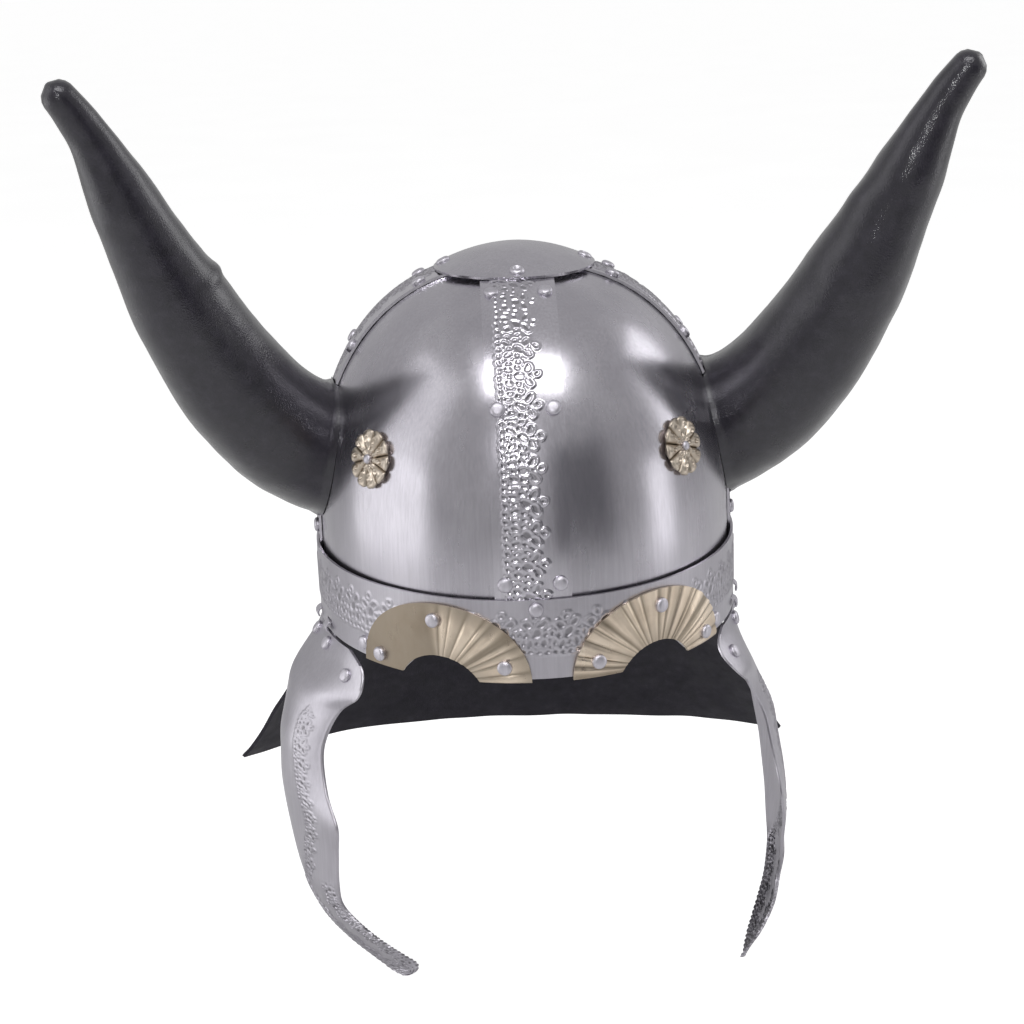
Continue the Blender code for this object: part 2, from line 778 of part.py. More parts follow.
def ring_hole():
    angles = [2 * math.pi * i / LOOP_SIDES for i in range(LOOP_SIDES)]
    return [(LOOP_INNER * math.cos(a), LOOP_INNER * math.sin(a)) for a in angles]


def hinge_strap(name, centre, outward):
    """A flat strap bent into a loop, as wide as LOOP_WIDTH along the hinge line."""
    line = bpy.data.curves.new(name, "CURVE")
    line.dimensions = "2D"
    line.fill_mode = "BOTH"
    line.extrude = LOOP_WIDTH / 2
    for outline in (strap_outline(), ring_hole()):
        spline = line.splines.new("POLY")
        spline.points.add(len(outline) - 1)
        for point, (x, y) in zip(spline.points, outline):
            point.co = (x, y, 0, 1)
        spline.use_cyclic_u = True
    up = Vector((0, 0, 1))
    turn = Matrix((outward, up, outward.cross(up))).transposed().to_4x4()
    return add_helper(name, solid_from_curve(line, Matrix.Translation(centre) @ turn))


def solid_from_curve(line, place):
    """The closed mesh of a curve with filled ends, moved to its place."""
    guide = bpy.data.objects.new(line.name + "_line", line)
    HELPERS.objects.link(guide)
    bpy.context.view_layer.update()
    graph = bpy.context.evaluated_depsgraph_get()
    mesh = bpy.data.meshes.new_from_object(guide.evaluated_get(graph))
    bpy.data.objects.remove(guide, do_unlink=True)
    bm = bmesh.new()
    bm.from_mesh(mesh)
    bmesh.ops.remove_doubles(bm, verts=bm.verts[:], dist=WELD)
    bm.transform(place)
    close_up(bm)
    return mesh_from(bm, line.name)


def cheek_guard(name, side):
    sign = SIDES[side]
    _, forward = hinge_line(side)
    sheet_middle, sheet_forward = rim_line(sign, GUARD_HANGS[side].sheet_turn)
    outward = Vector((0, 0, 1)).cross(forward) * sign
    guard = grid_sheet(name, guard_rows(side), LOOKS["steel"], Vector((0, 0, -GUARD_LENGTH / 2)))
    places = []
    for tag, centre in zip(LOOP_TAGS, hinge_centres(side)):
        strap = hinge_strap(f"{name}_strap_{tag}", centre, outward)
        boolean(guard, strap, "UNION")
        along = (centre - sheet_middle).dot(sheet_forward)
        places.append(rivet_on_guard(side, along, LOOP_RIVET_DOWN))
    places.append(rivet_on_guard(side, LOBE_RIVET_ALONG, LOBE_RIVET_DOWN))
    set_rivets(guard, places)
    return guard


def guard_across(along, down):
    """The share of the way across a guard at a place on it."""
    share = down / GUARD_LENGTH
    for low, high in zip(GUARD_SECTIONS, GUARD_SECTIONS[1:]):
        if share <= (high.rear_down + high.front_down) / 2:
            break
    rear = (low.rear_along + high.rear_along) / 2 * GUARD_REACH
    front = (low.front_along + high.front_along) / 2 * GUARD_REACH
    return min(1.0, max(0.0, (along - rear) / (front - rear)))


def rivet_on_guard(side, along, down):
    point = guard_point(side, along, down, guard_across(along, down))
    ahead = guard_point(side, along + PROBE, down, guard_across(along + PROBE, down))
    below = guard_point(side, along, down + PROBE, guard_across(along, down + PROBE))
    normal = (ahead - point).cross(below - point).normalized()
    return point, normal if normal.x * SIDES[side] > 0 else -normal


# Neck guard
def neck_guard():
    stand_off = BROW_INNER - GAP
    shares = [i / NECK_COLUMNS for i in range(NECK_COLUMNS + 1)]
    lines = []
    for height in (NECK_TOP, NECK_BEND):
        lines.append([ring_point(neck_turn(share), height, stand_off) for share in shares])
    for row in range(1, NECK_ROWS + 1):
        hang = [top.lerp(neck_hem(share), row / NECK_ROWS) for top, share in zip(lines[1], shares)]
        lines.append(hang)
    return grid_sheet(
        "neck_guard",
        lines,
        LOOKS["black_leather"],
        Vector((0, 0, 0)),
        thickness=NECK_SHEET,
    )


def neck_turn(share):
    return NECK_START_TURN + (360 - 2 * NECK_START_TURN) * share


def neck_hem(share):
    """A point of the neck guard's lower edge, from the right corner round to the left one."""
    angle = NECK_SWEEP * (1 - 2 * share)
    corner_share = math.sin(angle) / math.sin(NECK_SWEEP)
    fall = ((1 - math.cos(angle)) / (1 - math.cos(NECK_SWEEP))) ** NECK_SQUARENESS
    return Vector(
        (
            NECK_CORNER_OUT * corner_share,
            NECK_REACH - (NECK_REACH - NECK_CORNER_BACK) * fall,
            -NECK_DROP - NECK_DIP * (1 - fall) + NECK_TILT * corner_share,
        )
    )


def build_helmet():
    skull_plate("skull_plate_front_right", 0)
    skull_plate("skull_plate_back_right", 1)
    skull_plate("skull_plate_back_left", 2)
    skull_plate("skull_plate_front_left", 3)
    cross_band("cross_band_front", 0, FRONT_RIVET_SHARES)
    cross_band("cross_band_right", 1, SIDE_RIVET_SHARES)
    cross_band("cross_band_back", 2, FRONT_RIVET_SHARES)
    cross_band("cross_band_left", 3, SIDE_RIVET_SHARES)
    crown_cap()
    brow_band()
    skull_cutter = skull_solid_cutter()
    for side, sign in SIDES.items():
        brow_plate("brow_plate_" + side, sign)
        rosette("rosette_" + side, sign)
        side_band = band_cutter("side_band_cutter_" + side, sign)
        horn("horn_" + side, sign, skull_cutter, side_band)
        cheek_guard("cheek_guard_" + side, side)
    neck_guard()


clear_scene()
HELMET = new_collection("norse_iron_helmet")
HELPERS = new_collection("cutters")
HELPERS.hide_render = True
LOOKS = {look[0]: material(*look) for look in (STEEL, BRASS, LEATHER)}
build_helmet()
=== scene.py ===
"""The looks of a norse iron helmet: bright riveted sheet steel with embossed lace, brass brow plates
and rosettes, black leather horns and a leather neck guard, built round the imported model. The wearer
faces -Y and +Z is up."""

import math
from collections import namedtuple

import bmesh
import bpy
import numpy as np
from mathutils import Matrix, Vector, noise

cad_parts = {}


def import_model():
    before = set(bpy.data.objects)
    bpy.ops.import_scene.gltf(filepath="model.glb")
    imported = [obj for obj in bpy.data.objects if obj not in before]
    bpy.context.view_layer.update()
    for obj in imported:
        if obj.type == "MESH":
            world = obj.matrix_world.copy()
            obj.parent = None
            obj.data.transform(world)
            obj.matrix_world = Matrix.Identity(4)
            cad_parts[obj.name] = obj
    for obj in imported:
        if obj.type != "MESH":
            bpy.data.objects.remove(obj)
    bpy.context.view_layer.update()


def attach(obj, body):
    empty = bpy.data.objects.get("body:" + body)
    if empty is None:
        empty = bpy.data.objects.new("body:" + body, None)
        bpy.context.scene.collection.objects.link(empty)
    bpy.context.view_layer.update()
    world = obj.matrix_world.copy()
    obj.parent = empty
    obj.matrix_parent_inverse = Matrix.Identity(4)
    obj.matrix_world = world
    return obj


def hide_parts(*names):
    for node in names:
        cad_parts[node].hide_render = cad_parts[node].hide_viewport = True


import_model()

# Sheet metal and skull, as in the CAD model
SHEET = 0.0012
GAP = 0.0003
SKULL_HALF_WIDTH = 0.1025
SKULL_HALF_LENGTH = 0.1165
SKULL_RISE = 0.136
SKULL_HEM = 0.010
CROWN_HOLE_ANGLE = 80.0
PROFILE_UP = 2.5
PROFILE_OUT = 2.35
PLATE_SEAM = 0.0006
SKULL_TURN = math.radians(-3.5)
PROBE = 0.001

# Cross bands
BAND_WIDTH = 0.035
BAND_LIFT = GAP + SHEET
BAND_TOP_ANGLE = 77.0
BAND_HEM = 0.012
BAND_RIVET_SPREAD = 0.0125
FRONT_RIVET_SHARES = (0.941, 0.618, 0.0515)
SIDE_RIVET_SHARES = (0.941, 0.7206, 0.0588)

# Crown cap
CAP_HALF_WIDTH = 0.0395
CAP_HALF_LENGTH = 0.0435
CAP_RISE = 0.010
CAP_RIVET_SHARE = 0.88

# Brow band
BROW_HEIGHT = 0.038
BROW_INNER = BAND_LIFT + GAP
BROW_OUTER = BROW_INNER + SHEET
BROW_TOP_RIVET = 0.0335
CORNER_RIVET_TURN = 53.0
CORNER_RIVET_HEIGHT = 0.006
NECK_RIVET_TURNS = (124.0, 142.0, 161.0, 180.0)
NECK_RIVET_HEIGHT = 0.005

# Brow plates
PLATE_TURN = 28.5
PLATE_HALF_SPAN = 0.0445
PLATE_RISE = 0.036
PLATE_OVERHANG = 0.0012
ARCH_HALF_SPAN = 0.020
ARCH_RISE = 0.011
ARCH_MARGIN = 0.0006
BRASS_SHEET = 0.0010
FLUTES = 18
FLUTE_DEPTH = 0.0011
FLUTES_END = 0.46
FLUTES_FADE = 0.10
PLATE_RIVETS = ((29.4, 0.027), (46.0, 0.0045), (11.6, 0.0065))

# Rosettes
ROSETTE_RADIUS = 0.0138
ROSETTE_AZIMUTH = 43.6
ROSETTE_HEIGHT = BROW_HEIGHT + SKULL_RISE * 0.4191
ROSETTE_THICKNESS = 0.0022
PETALS = 10
HUB_RADIUS = 0.0023
PETAL_BASE = 0.55
PETAL_CROWN = 0.35
PETAL_LOWEST = 0.05
PETAL_EDGE = 0.93
PETAL_EDGE_FALL = 0.45
PETAL_NOTCH = 0.10
PETAL_SLOT_DEPTH = 0.85
PETAL_SLOT_WIDTH = 0.12
PETAL_SLOT_START = 0.26
DROP_PLACE = 0.66
DROP_HALF_WIDTH = 0.085
DROP_HALF_LENGTH = 0.15
DROP_RIM = 0.34
DROP_PIT = 0.28
COLLAR_PLACE = 0.31
COLLAR_WIDTH = 0.05
COLLAR_HEIGHT = 0.30

# Rivet heads
RIVET_RADIUS = 0.0035
RIVET_HEIGHT = 0.0023
RIVET_SIDES = 28

# Horns
HORN_ROOT = (0.080, 0.006, 0.084)
HORN_BEND_LOW = (0.131, -0.024, 0.078)
HORN_BEND_HIGH = (0.162, -0.048, 0.171)
HORN_TIP = (0.199, -0.072, 0.270)
HORN_HOOK_START = 0.88
HORN_HOOK = (0.006, 0.0, -0.002)
HORN_RADIUS = 0.0355
Girth = namedtuple("Girth", "along thickness")
HORN_GIRTHS = (
    Girth(0.00, 0.96),
    Girth(0.10, 0.96),
    Girth(0.22, 0.87),
    Girth(0.42, 0.80),
    Girth(0.61, 0.68),
    Girth(0.80, 0.46),
    Girth(0.93, 0.26),
    Girth(0.98, 0.22),
    Girth(1.00, 0.20),
)
HORN_DRIFTS = {-1: Vector((-0.0004, 0.0, 0.0026)), 1: Vector((0.0020, 0.0, -0.0016))}
HORN_SWELL = {-1: 1.0, 1: 1.04}
HORN_SEAM = -2.0
HORN_ROUND_TIP = 0.022
HORN_STATIONS = 130
HORN_SIDES = 88
HORN_FOLD_COUNT = 62
HORN_FOLD_HEIGHT = 0.0009
HORN_FOLD_SPREAD = 0.55
HORN_SEAM_HEIGHT = 0.0010
HORN_SEAM_WIDTH = 0.055
HORN_SEAM_WIDENING = 0.05
HORN_STITCH_HEIGHT = 0.0004
HORN_STITCH_PACE = 520
HORN_HEM_HEIGHT = 0.0011
HORN_HEM_LENGTH = 0.012
HORN_FOOT_RINGS = 5
KNOT_SPREAD = 0.5
Knot = namedtuple("Knot", "along turn height length")
HORN_KNOTS = {"left": Knot(0.655, 0.1, 0.0018, 0.012), "right": Knot(0.74, 0.15, 0.0012, 0.03)}

# Cheek guards
GUARD_LENGTH = 0.163
GUARD_REACH = 0.064
GUARD_STAND_OUT = 0.0215
GUARD_CROWN = 0.009
GUARD_CROWN_FADE = 0.85
GUARD_EASE_DEPTH = 0.030
RIM_CURVE = 0.130
TIP_START = 0.70
TIP_CURL = 0.05
Hang = namedtuple("Hang", "hinge_turn sheet_turn twist shift")
GUARD_HANGS = {
    "left": Hang(79.0, 73.0, math.radians(13.4), 0.0044),
    "right": Hang(77.0, 71.0, math.radians(-14.6), -0.0044),
}
Section = namedtuple("Section", "rear_along rear_down front_along front_down")
GUARD_SECTIONS = (
    Section(-0.51, 0.014, 0.38, 0.014),
    Section(-0.50, 0.055, 0.56, 0.048),
    Section(-0.47, 0.100, 0.63, 0.090),
    Section(-0.44, 0.150, 0.61, 0.138),
    Section(-0.39, 0.205, 0.44, 0.190),
    Section(-0.33, 0.280, 0.37, 0.260),
    Section(-0.29, 0.365, 0.39, 0.345),
    Section(-0.26, 0.450, 0.48, 0.435),
    Section(-0.21, 0.540, 0.63, 0.520),
    Section(-0.13, 0.625, 0.61, 0.605),
    Section(-0.02, 0.720, 0.60, 0.705),
    Section(0.15, 0.800, 0.65, 0.795),
    Section(0.41, 0.890, 0.87, 0.850),
    Section(0.69, 0.960, 1.03, 0.905),
    Section(0.95, 1.000, 1.11, 0.965),
)
Bow = namedtuple("Bow", "down out")
GUARD_BOWS = (
    Bow(0.00, 0.00),
    Bow(0.07, 0.07),
    Bow(0.16, 0.29),
    Bow(0.31, 0.84),
    Bow(0.47, 1.02),
    Bow(0.63, 1.07),
    Bow(0.78, 1.05),
    Bow(0.86, 0.82),
    Bow(0.94, 0.34),
    Bow(1.00, -0.10),
)
BOW_SAMPLES = 400
BOW_BLUR = 0.022
Bend = namedtuple("Bend", "middle flare tip split turn")
GUARD_BENDS = {
    "left": Bend(-0.0012, -0.0004, 0.0, 0.013, 0.0080),
    "right": Bend(0.0009, 0.0008, 0.0006, -0.006, 0.0),
}
GUARD_WAIST = 0.62
GUARD_WAIST_LENGTH = 0.20
GUARD_FLARE_LENGTH = 0.055
GUARD_BEND_START = 0.75
GUARD_BEND_LENGTH = 0.2
GUARD_ROUND_TIP = 0.62
GUARD_TIP_START = 10.0
GUARD_TIP_WIDTHS = {"left": 1.15, "right": 0.90}
GUARD_ROWS = 400
GUARD_COLUMNS = 60
LOBE_RIVET_ALONG = 0.028
LOBE_RIVET_DOWN = 0.014

# Hinge loops
LOOP_SPACING = 0.024
LOOP_WIDTH = 0.006
LOOP_MIDDLE = 0.0029
LOOP_SHEET = 0.0009
LOOP_TAIL = 0.009
LOOP_RIVET_DOWN = 0.0068
SLOT_WIDTH = 0.0076
SLOT_BOTTOM = 0.0032
SLOT_TOP = 0.0060
HINGE_HEIGHT = SLOT_BOTTOM / 2

# Neck guard
NECK_SHEET = 0.002
NECK_TOP = 0.0085
NECK_BEND = -0.001
NECK_START_TURN = 119.0
NECK_CORNER_OUT = 0.161
NECK_CORNER_BACK = 0.115
NECK_REACH = 0.160
NECK_DROP = 0.133
NECK_DIP = 0.0015
NECK_TILT = -0.003
NECK_SAG = 0.0026
NECK_SAG_MIDDLE = 0.24
NECK_SAG_WIDTH = 0.15
NECK_SWEEP = math.radians(46.0)
NECK_SQUARENESS = 1.4
NECK_WAVE = 0.0016
NECK_WAVE_START = 0.35
NECK_HEM_ROLL = 0.0008
NECK_HEM_LENGTH = 0.035
NECK_SIDE_HOLLOW = 0.0032
NECK_SIDE_WIDTH = 0.10

# Embossed lace: one repeat of its eyelets and cells, across and along the strip
LACE_PERIOD = 0.0144
LACE_RELIEF = 0.00055
LACE_SLOPE = 0.00050
LACE_RIDGE = 0.00105
Hole = namedtuple("Hole", "across along half_across half_along tilt")
LACE_HOLES = (
    Hole(0.0199, 0.0000, 0.0009, 0.0009, 0.0),
    Hole(0.0162, 0.0035, 0.0011, 0.0021, 0.6),
    Hole(0.0158, -0.0030, 0.0011, 0.0019, -0.5),
    Hole(0.0115, 0.0049, 0.0009, 0.0009, 0.0),
    Hole(0.0110, -0.0035, 0.0010, 0.0009, 0.0),
    Hole(0.0121, 0.0009, 0.0022, 0.0016, -0.5),
    Hole(0.0074, 0.0043, 0.0016, 0.0011, 0.2),
    Hole(0.0076, 0.0010, 0.0009, 0.0008, 0.0),
    Hole(0.0067, -0.0023, 0.0017, 0.0010, -0.2),
    Hole(0.0074, -0.0054, 0.0011, 0.0007, 0.1),
    Hole(0.0119, -0.0064, 0.0010, 0.0006, 0.0),
    Hole(0.0031, 0.0054, 0.0008, 0.0010, 0.0),
    Hole(0.0031, 0.0018, 0.0008, 0.0010, 0.0),
    Hole(0.0031, -0.0018, 0.0008, 0.0010, 0.0),
    Hole(0.0031, -0.0054, 0.0008, 0.0010, 0.0),
)
BAND_LACE_START = 0.0036
BROW_LACE_START = 0.0100
BROW_LACE_SIZE = 1.02
BROW_LACE_WORN = 0.75
BROW_CRISP_TURN = 18
BROW_WEAR_TURN = 30
GUARD_LACE_SIZE = 0.62
Strip = namedtuple("Strip", "down middle half")
GUARD_STRIP = (
    Strip(0.00, 0.66, 0.00),
    Strip(0.19, 0.66, 0.00),
    Strip(0.24, 0.70, 0.13),
    Strip(0.36, 0.76, 0.19),
    Strip(0.55, 0.74, 0.20),
    Strip(0.68, 0.62, 0.26),
    Strip(0.78, 0.50, 0.50),
    Strip(1.00, 0.50, 0.55),
)

# The guard's lace: it begins to cover the whole width at a share of the length, over a short way
GUARD_LACE_SPREADS = 0.70
GUARD_LACE_SPREAD_LENGTH = 0.06
GUARD_LACE_START = 0.0018
GUARD_LACE_FADE = 0.0008
GUARD_LACE_RELIEF = 0.9
GUARD_LACE_DEEPER = 0.25
# How far the tone is lowered where the lace covers the guard's whole width, which makes the lower guard's
# steel darker all over
GUARD_LACE_DARKER = 0.14
GUARD_HEM_WIDTH = 0.0014
GUARD_HEM_HEIGHT = 0.0001

# Unevenness of hand-beaten sheet
PLATE_DENTS = 0.00016
CAP_DENTS = 0.00025

# Fineness of the meshes
PLATE_STEP = 0.0042
PLATE_COLUMNS = 44
CAP_SIDES = 96
CAP_RINGS = 20
FLUTE_COLUMNS = 12
PLATE_RINGS = 22
PETAL_COLUMNS = 16
ROSETTE_RINGS = 26
NECK_COLUMNS = 110
NECK_ROWS = 64
FINE_STEP = 0.0005
WIDE_STEP = 0.0006
COARSE_TURN = 5.0
RELIEF_SHARP = math.radians(72)
PLAIN_SHARP = math.radians(40)

SIDES = {"left": -1, "right": 1}
LOOP_TAGS = ("rear", "front")
UP = Vector((0, 0, 1))


def table_value(rows, key, value, at):
    """Reads a smooth value from a short table at a place between its rows."""
    for low, high in zip(rows, rows[1:]):
        start, end = getattr(low, key), getattr(high, key)
        if at <= end:
            share = max(0.0, (at - start) / (end - start))
            ease = share * share * (3 - 2 * share)
            blend = (share + ease) / 2
            return getattr(low, value) * (1 - blend) + getattr(high, value) * blend
    return getattr(rows[-1], value)


def smooth(value):
    """0 below 0, 1 above 1 and a soft step between, for numbers and arrays."""
    share = np.clip(value, 0.0, 1.0)
    return share * share * (3 - 2 * share)


def hill(value, middle, width):
    """1 at the middle, falling off softly on both sides."""
    return math.exp(-(((value - middle) / width) ** 2))


def even_shares(count):
    """Shares from 0 to 1 in a number of even steps."""
    return [i / count for i in range(count + 1)]


def even_turns(count):
    """Turns in radians round a full circle, the last one short of the first."""
    return [2 * math.pi * i / count for i in range(count)]


# Node building
def new_material(name):
    made = bpy.data.materials.new(name)
    made.use_nodes = True
    return made, made.node_tree, made.node_tree.nodes["Principled BSDF"]


def set_inputs(node, values):
    for name, value in values.items():
        node.inputs[name].default_value = value


def add_node(tree, kind, **values):
    """A shader node with its settings and unlinked inputs."""
    node = tree.nodes.new(kind)
    for key, value in values.items():
        if key in node.inputs:
            node.inputs[key].default_value = value
        else:
            setattr(node, key, value)
    return node


def stretched_noise(tree, stretch, scale, detail=4.0, roughness=0.55):
    """Noise in the piece's own metres, drawn out along the axes with a small stretch."""
    place = add_node(tree, "ShaderNodeTexCoord")
    mapping = add_node(tree, "ShaderNodeMapping")
    mapping.inputs["Scale"].default_value = stretch
    grain = add_node(tree, "ShaderNodeTexNoise", Scale=scale, Detail=detail, Roughness=roughness)
    tree.links.new(place.outputs["Object"], mapping.inputs["Vector"])
    tree.links.new(mapping.outputs["Vector"], grain.inputs["Vector"])
    return grain.outputs["Fac"]


def ramp(tree, source, stops):
    """A colour ramp from pairs of place and colour."""
    node = add_node(tree, "ShaderNodeValToRGB")
    elements = node.color_ramp.elements
    while len(elements) < len(stops):
        elements.new(0.5)
    for element, (place, colour) in zip(elements, stops):
        element.position = place
        element.color = (*colour, 1.0)
    tree.links.new(source, node.inputs["Fac"])
    return node.outputs["Color"]


def spread(tree, source, low, high, start=0.3, end=0.7):
    """Maps a noise value to a range."""
    node = add_node(tree, "ShaderNodeMapRange")
    set_inputs(node, {"From Min": start, "From Max": end, "To Min": low, "To Max": high})
    tree.links.new(source, node.inputs["Value"])
    return node.outputs["Result"]


def mix_colours(tree, share, low, high, blend="MIX"):
    node = add_node(tree, "ShaderNodeMix", data_type="RGBA", blend_type=blend)
    for socket, value in ((node.inputs["Factor"], share), (node.inputs[6], low), (node.inputs[7], high)):
        if isinstance(value, (float, tuple)):
            socket.default_value = value
        else:
            tree.links.new(value, socket)
    return node.outputs[2]


def add_bump(tree, surface, layers):
    """Chains bumps from tuples of height socket, strength and depth in metres."""
    normal = None
    for height, strength, depth in layers:
        bump = add_node(tree, "ShaderNodeBump", Strength=strength, Distance=depth)
        tree.links.new(height, bump.inputs["Height"])
        if normal:
            tree.links.new(normal, bump.inputs["Normal"])
        normal = bump.outputs["Normal"]
    tree.links.new(normal, surface.inputs["Normal"])


# Materials
STEEL_DARK = (0.50, 0.48, 0.53)
STEEL_MIDDLE = (0.56, 0.54, 0.59)
STEEL_LIGHT = (0.62, 0.60, 0.65)
STEEL_STREAK = (0.33, 0.32, 0.35, 1.0)
# The near black that is painted into the lace's pits as painted shade
STEEL_PIT_SHADE = (0.09, 0.085, 0.09, 1.0)
BRASS_STOPS = ((0.28, (0.62, 0.51, 0.40)), (0.5, (0.80, 0.68, 0.55)), (0.75, (0.88, 0.76, 0.63)))
BRASS_TARNISH = (0.13, 0.105, 0.075, 1.0)
LEATHER_STOPS = (
    (0.30, (0.0075, 0.0065, 0.0105)),
    (0.55, (0.0145, 0.0125, 0.0195)),
    (0.80, (0.028, 0.025, 0.035)),
)
LEATHER_TINT = (0.93, 0.92, 1.0, 1.0)
LEATHER_SPECULAR = 0.35
CREASE_DEPTH = 0.00022
PEBBLE_DEPTH = 0.00009
PORE_DEPTH = 0.00004
GLITTER_DEPTH = 0.00011
WAX_ROUGHNESS = 0.11


def steel_material(name, roughness, brushing, tint=1.0, pit_shade=0.0):
    """Bright sheet steel: fine vertical brushing, soft blotches, scratches, and painted shade in the pits
    of its relief.
    """
    made, tree, surface = new_material(name)
    blotch = stretched_noise(tree, (1, 1, 0.6), 34, detail=7)
    steels = ((0.30, STEEL_DARK), (0.52, STEEL_MIDDLE), (0.72, STEEL_LIGHT))
    stops = [(place, tuple(tint * value for value in steel)) for place, steel in steels]
    colour = ramp(tree, blotch, stops)
    streaks = stretched_noise(tree, (1, 1, 0.035), 900, detail=3)
    colour = mix_colours(tree, spread(tree, streaks, 0.0, 0.28), colour, STEEL_STREAK)
    # Painted shade: where the relief's tone is low, in the pits of the lace, the colour is darkened
    # towards near black
    if pit_shade:
        height = add_node(tree, "ShaderNodeAttribute", attribute_name="relief").outputs["Fac"]
        hollow = spread(tree, height, pit_shade, 0.0, 0.0, 0.48)
        colour = mix_colours(tree, hollow, colour, STEEL_PIT_SHADE)
    tree.links.new(colour, surface.inputs["Base Color"])
    surface.inputs["Metallic"].default_value = 1.0
    wear = stretched_noise(tree, (1, 1, 0.25), 60, detail=6)
    tree.links.new(spread(tree, wear, roughness * 0.85, roughness * 1.2), surface.inputs["Roughness"])
    scratches = stretched_noise(tree, (1, 0.06, 0.4), 700, detail=2)
    add_bump(tree, surface, ((streaks, brushing, 0.00012), (scratches, brushing * 0.6, 0.0001)))
    return made


def brass_material(name, shine, tint, tarnish):
    """Pale dull brass, greyed by tarnish in its folds."""
    made, tree, surface = new_material(name)
    blotch = stretched_noise(tree, (1, 1, 1), 55, detail=6)
    colour = ramp(tree, blotch, BRASS_STOPS)
    height = add_node(tree, "ShaderNodeAttribute", attribute_name="relief").outputs["Fac"]
    colour = mix_colours(tree, spread(tree, height, tarnish, 0.0, 0.0, 0.6), colour, BRASS_TARNISH)
    colour = mix_colours(tree, 1.0, colour, (*tint, 1.0), blend="MULTIPLY")
    tree.links.new(colour, surface.inputs["Base Color"])
    surface.inputs["Metallic"].default_value = 1.0
    fine = stretched_noise(tree, (1, 1, 0.2), 420, detail=4)
    tree.links.new(spread(tree, fine, shine * 0.8, shine * 1.3), surface.inputs["Roughness"])
    add_bump(tree, surface, ((fine, 0.25, 0.0001),))
    return made


def leather_material(name, grain, shine, gloss):
    """Black leather: a pebbled grain with creases, a tone that varies with the creases, and a waxed sheen.
    """
    made, tree, surface = new_material(name)
    place = add_node(tree, "ShaderNodeTexCoord")
    pebbles = add_node(tree, "ShaderNodeTexVoronoi", Scale=grain, feature="SMOOTH_F1", Smoothness=0.5)
    tree.links.new(place.outputs["Object"], pebbles.inputs["Vector"])
    creases = stretched_noise(tree, (1, 1, 1), grain * 0.11, detail=8, roughness=0.62)
    tree.links.new(ramp(tree, creases, LEATHER_STOPS), surface.inputs["Base Color"])
    dull = stretched_noise(tree, (1, 1, 1), 70, detail=5)
    tree.links.new(spread(tree, dull, shine * 0.85, shine * 1.3), surface.inputs["Roughness"])
    fine = stretched_noise(tree, (1, 1, 1), grain * 2.6, detail=3)
    layers = (
        (creases, 0.35, CREASE_DEPTH),
        (pebbles.outputs["Distance"], 0.5, PEBBLE_DEPTH),
        (fine, 0.4, PORE_DEPTH),
    )
    add_bump(tree, surface, layers)
    set_inputs(surface, {"Specular IOR Level": LEATHER_SPECULAR, "Specular Tint": LEATHER_TINT})
    glitter = add_node(tree, "ShaderNodeBump", Strength=1.0, Distance=GLITTER_DEPTH)
    tree.links.new(pebbles.outputs["Distance"], glitter.inputs["Height"])
    tree.links.new(glitter.outputs["Normal"], surface.inputs["Coat Normal"])
    set_inputs(surface, {"Coat Weight": gloss, "Coat Roughness": WAX_ROUGHNESS})
    return made


FLOOR_GLOW = 0.60


def floor_material():
    made, tree, surface = new_material("pale_floor")
    shade = stretched_noise(tree, (1, 1, 1), 3, detail=2)
    tree.links.new(
        ramp(tree, shade, ((0.3, (0.76, 0.76, 0.76)), (0.7, (0.79, 0.79, 0.79)))),
        surface.inputs["Base Color"],
    )
    surface.inputs["Roughness"].default_value = 0.9
    path = add_node(tree, "ShaderNodeLightPath")
    glow = add_node(tree, "ShaderNodeMath", operation="MULTIPLY")
    glow.inputs[1].default_value = FLOOR_GLOW
    tree.links.new(path.outputs["Is Camera Ray"], glow.inputs[0])
    tree.links.new(glow.outputs["Value"], surface.inputs["Emission Strength"])
    surface.inputs["Emission Color"].default_value = (1.0, 1.0, 1.0, 1.0)
    return made


# Each look's material
LOOKS = {
    "plate": steel_material("skull_steel", 0.25, 0.12),
    # For the lace, brow and guard steels the last number is how strongly shade is painted into the pits of
    # their relief
    "lace": steel_material("embossed_steel", 0.21, 0.08, tint=1.1, pit_shade=0.42),
    "brow": steel_material("brow_steel", 0.34, 0.2, tint=0.92, pit_shade=0.42),
    "guard": steel_material("guard_steel", 0.36, 0.2, tint=0.96, pit_shade=0.65),
    "rivet": steel_material("rivet_steel", 0.40, 0.5, tint=1.15),
    "brass": brass_material("pale_brass", 0.33, (1.0, 1.0, 1.0), 0.7),
    "rosette": brass_material("worn_brass", 0.36, (0.74, 0.76, 0.79), 0.80),
    "horn": leather_material("horn_leather", 1500, 0.30, 0.9),
    "neck": leather_material("neck_leather", 1300, 0.50, 0.05),
}


# Pieces
def add_piece(name, bm, look, body, sharp, *nodes):
    """Turns a closed bmesh into a piece that rides on its body and stands for its nodes."""
    bmesh.ops.recalc_face_normals(bm, faces=bm.faces[:])
    mesh = bpy.data.meshes.new(name)
    bm.to_mesh(mesh)
    bm.free()
    piece = bpy.data.objects.new(name, mesh)
    bpy.context.scene.collection.objects.link(piece)
    mesh.materials.append(LOOKS[look])
    mesh.shade_smooth()
    mesh.set_sharp_from_angle(angle=sharp)
    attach(piece, body)
    if nodes:
        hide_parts(*nodes)
    return piece


def every(count, step):
    """Places from 0 to count, a step apart, with the last one always in."""
    return list(range(0, count, step)) + [count]


def spans(marks, count, closed):
    """Pairs of neighbouring marks, round the join where the sheet is closed."""
    ends = marks[1:] + ([marks[0] + count] if closed else [])
    return list(zip(marks, ends))


def toned_point(bm, layer, point, tone):
    vert = bm.verts.new(point)
    vert[layer] = tone
    return vert


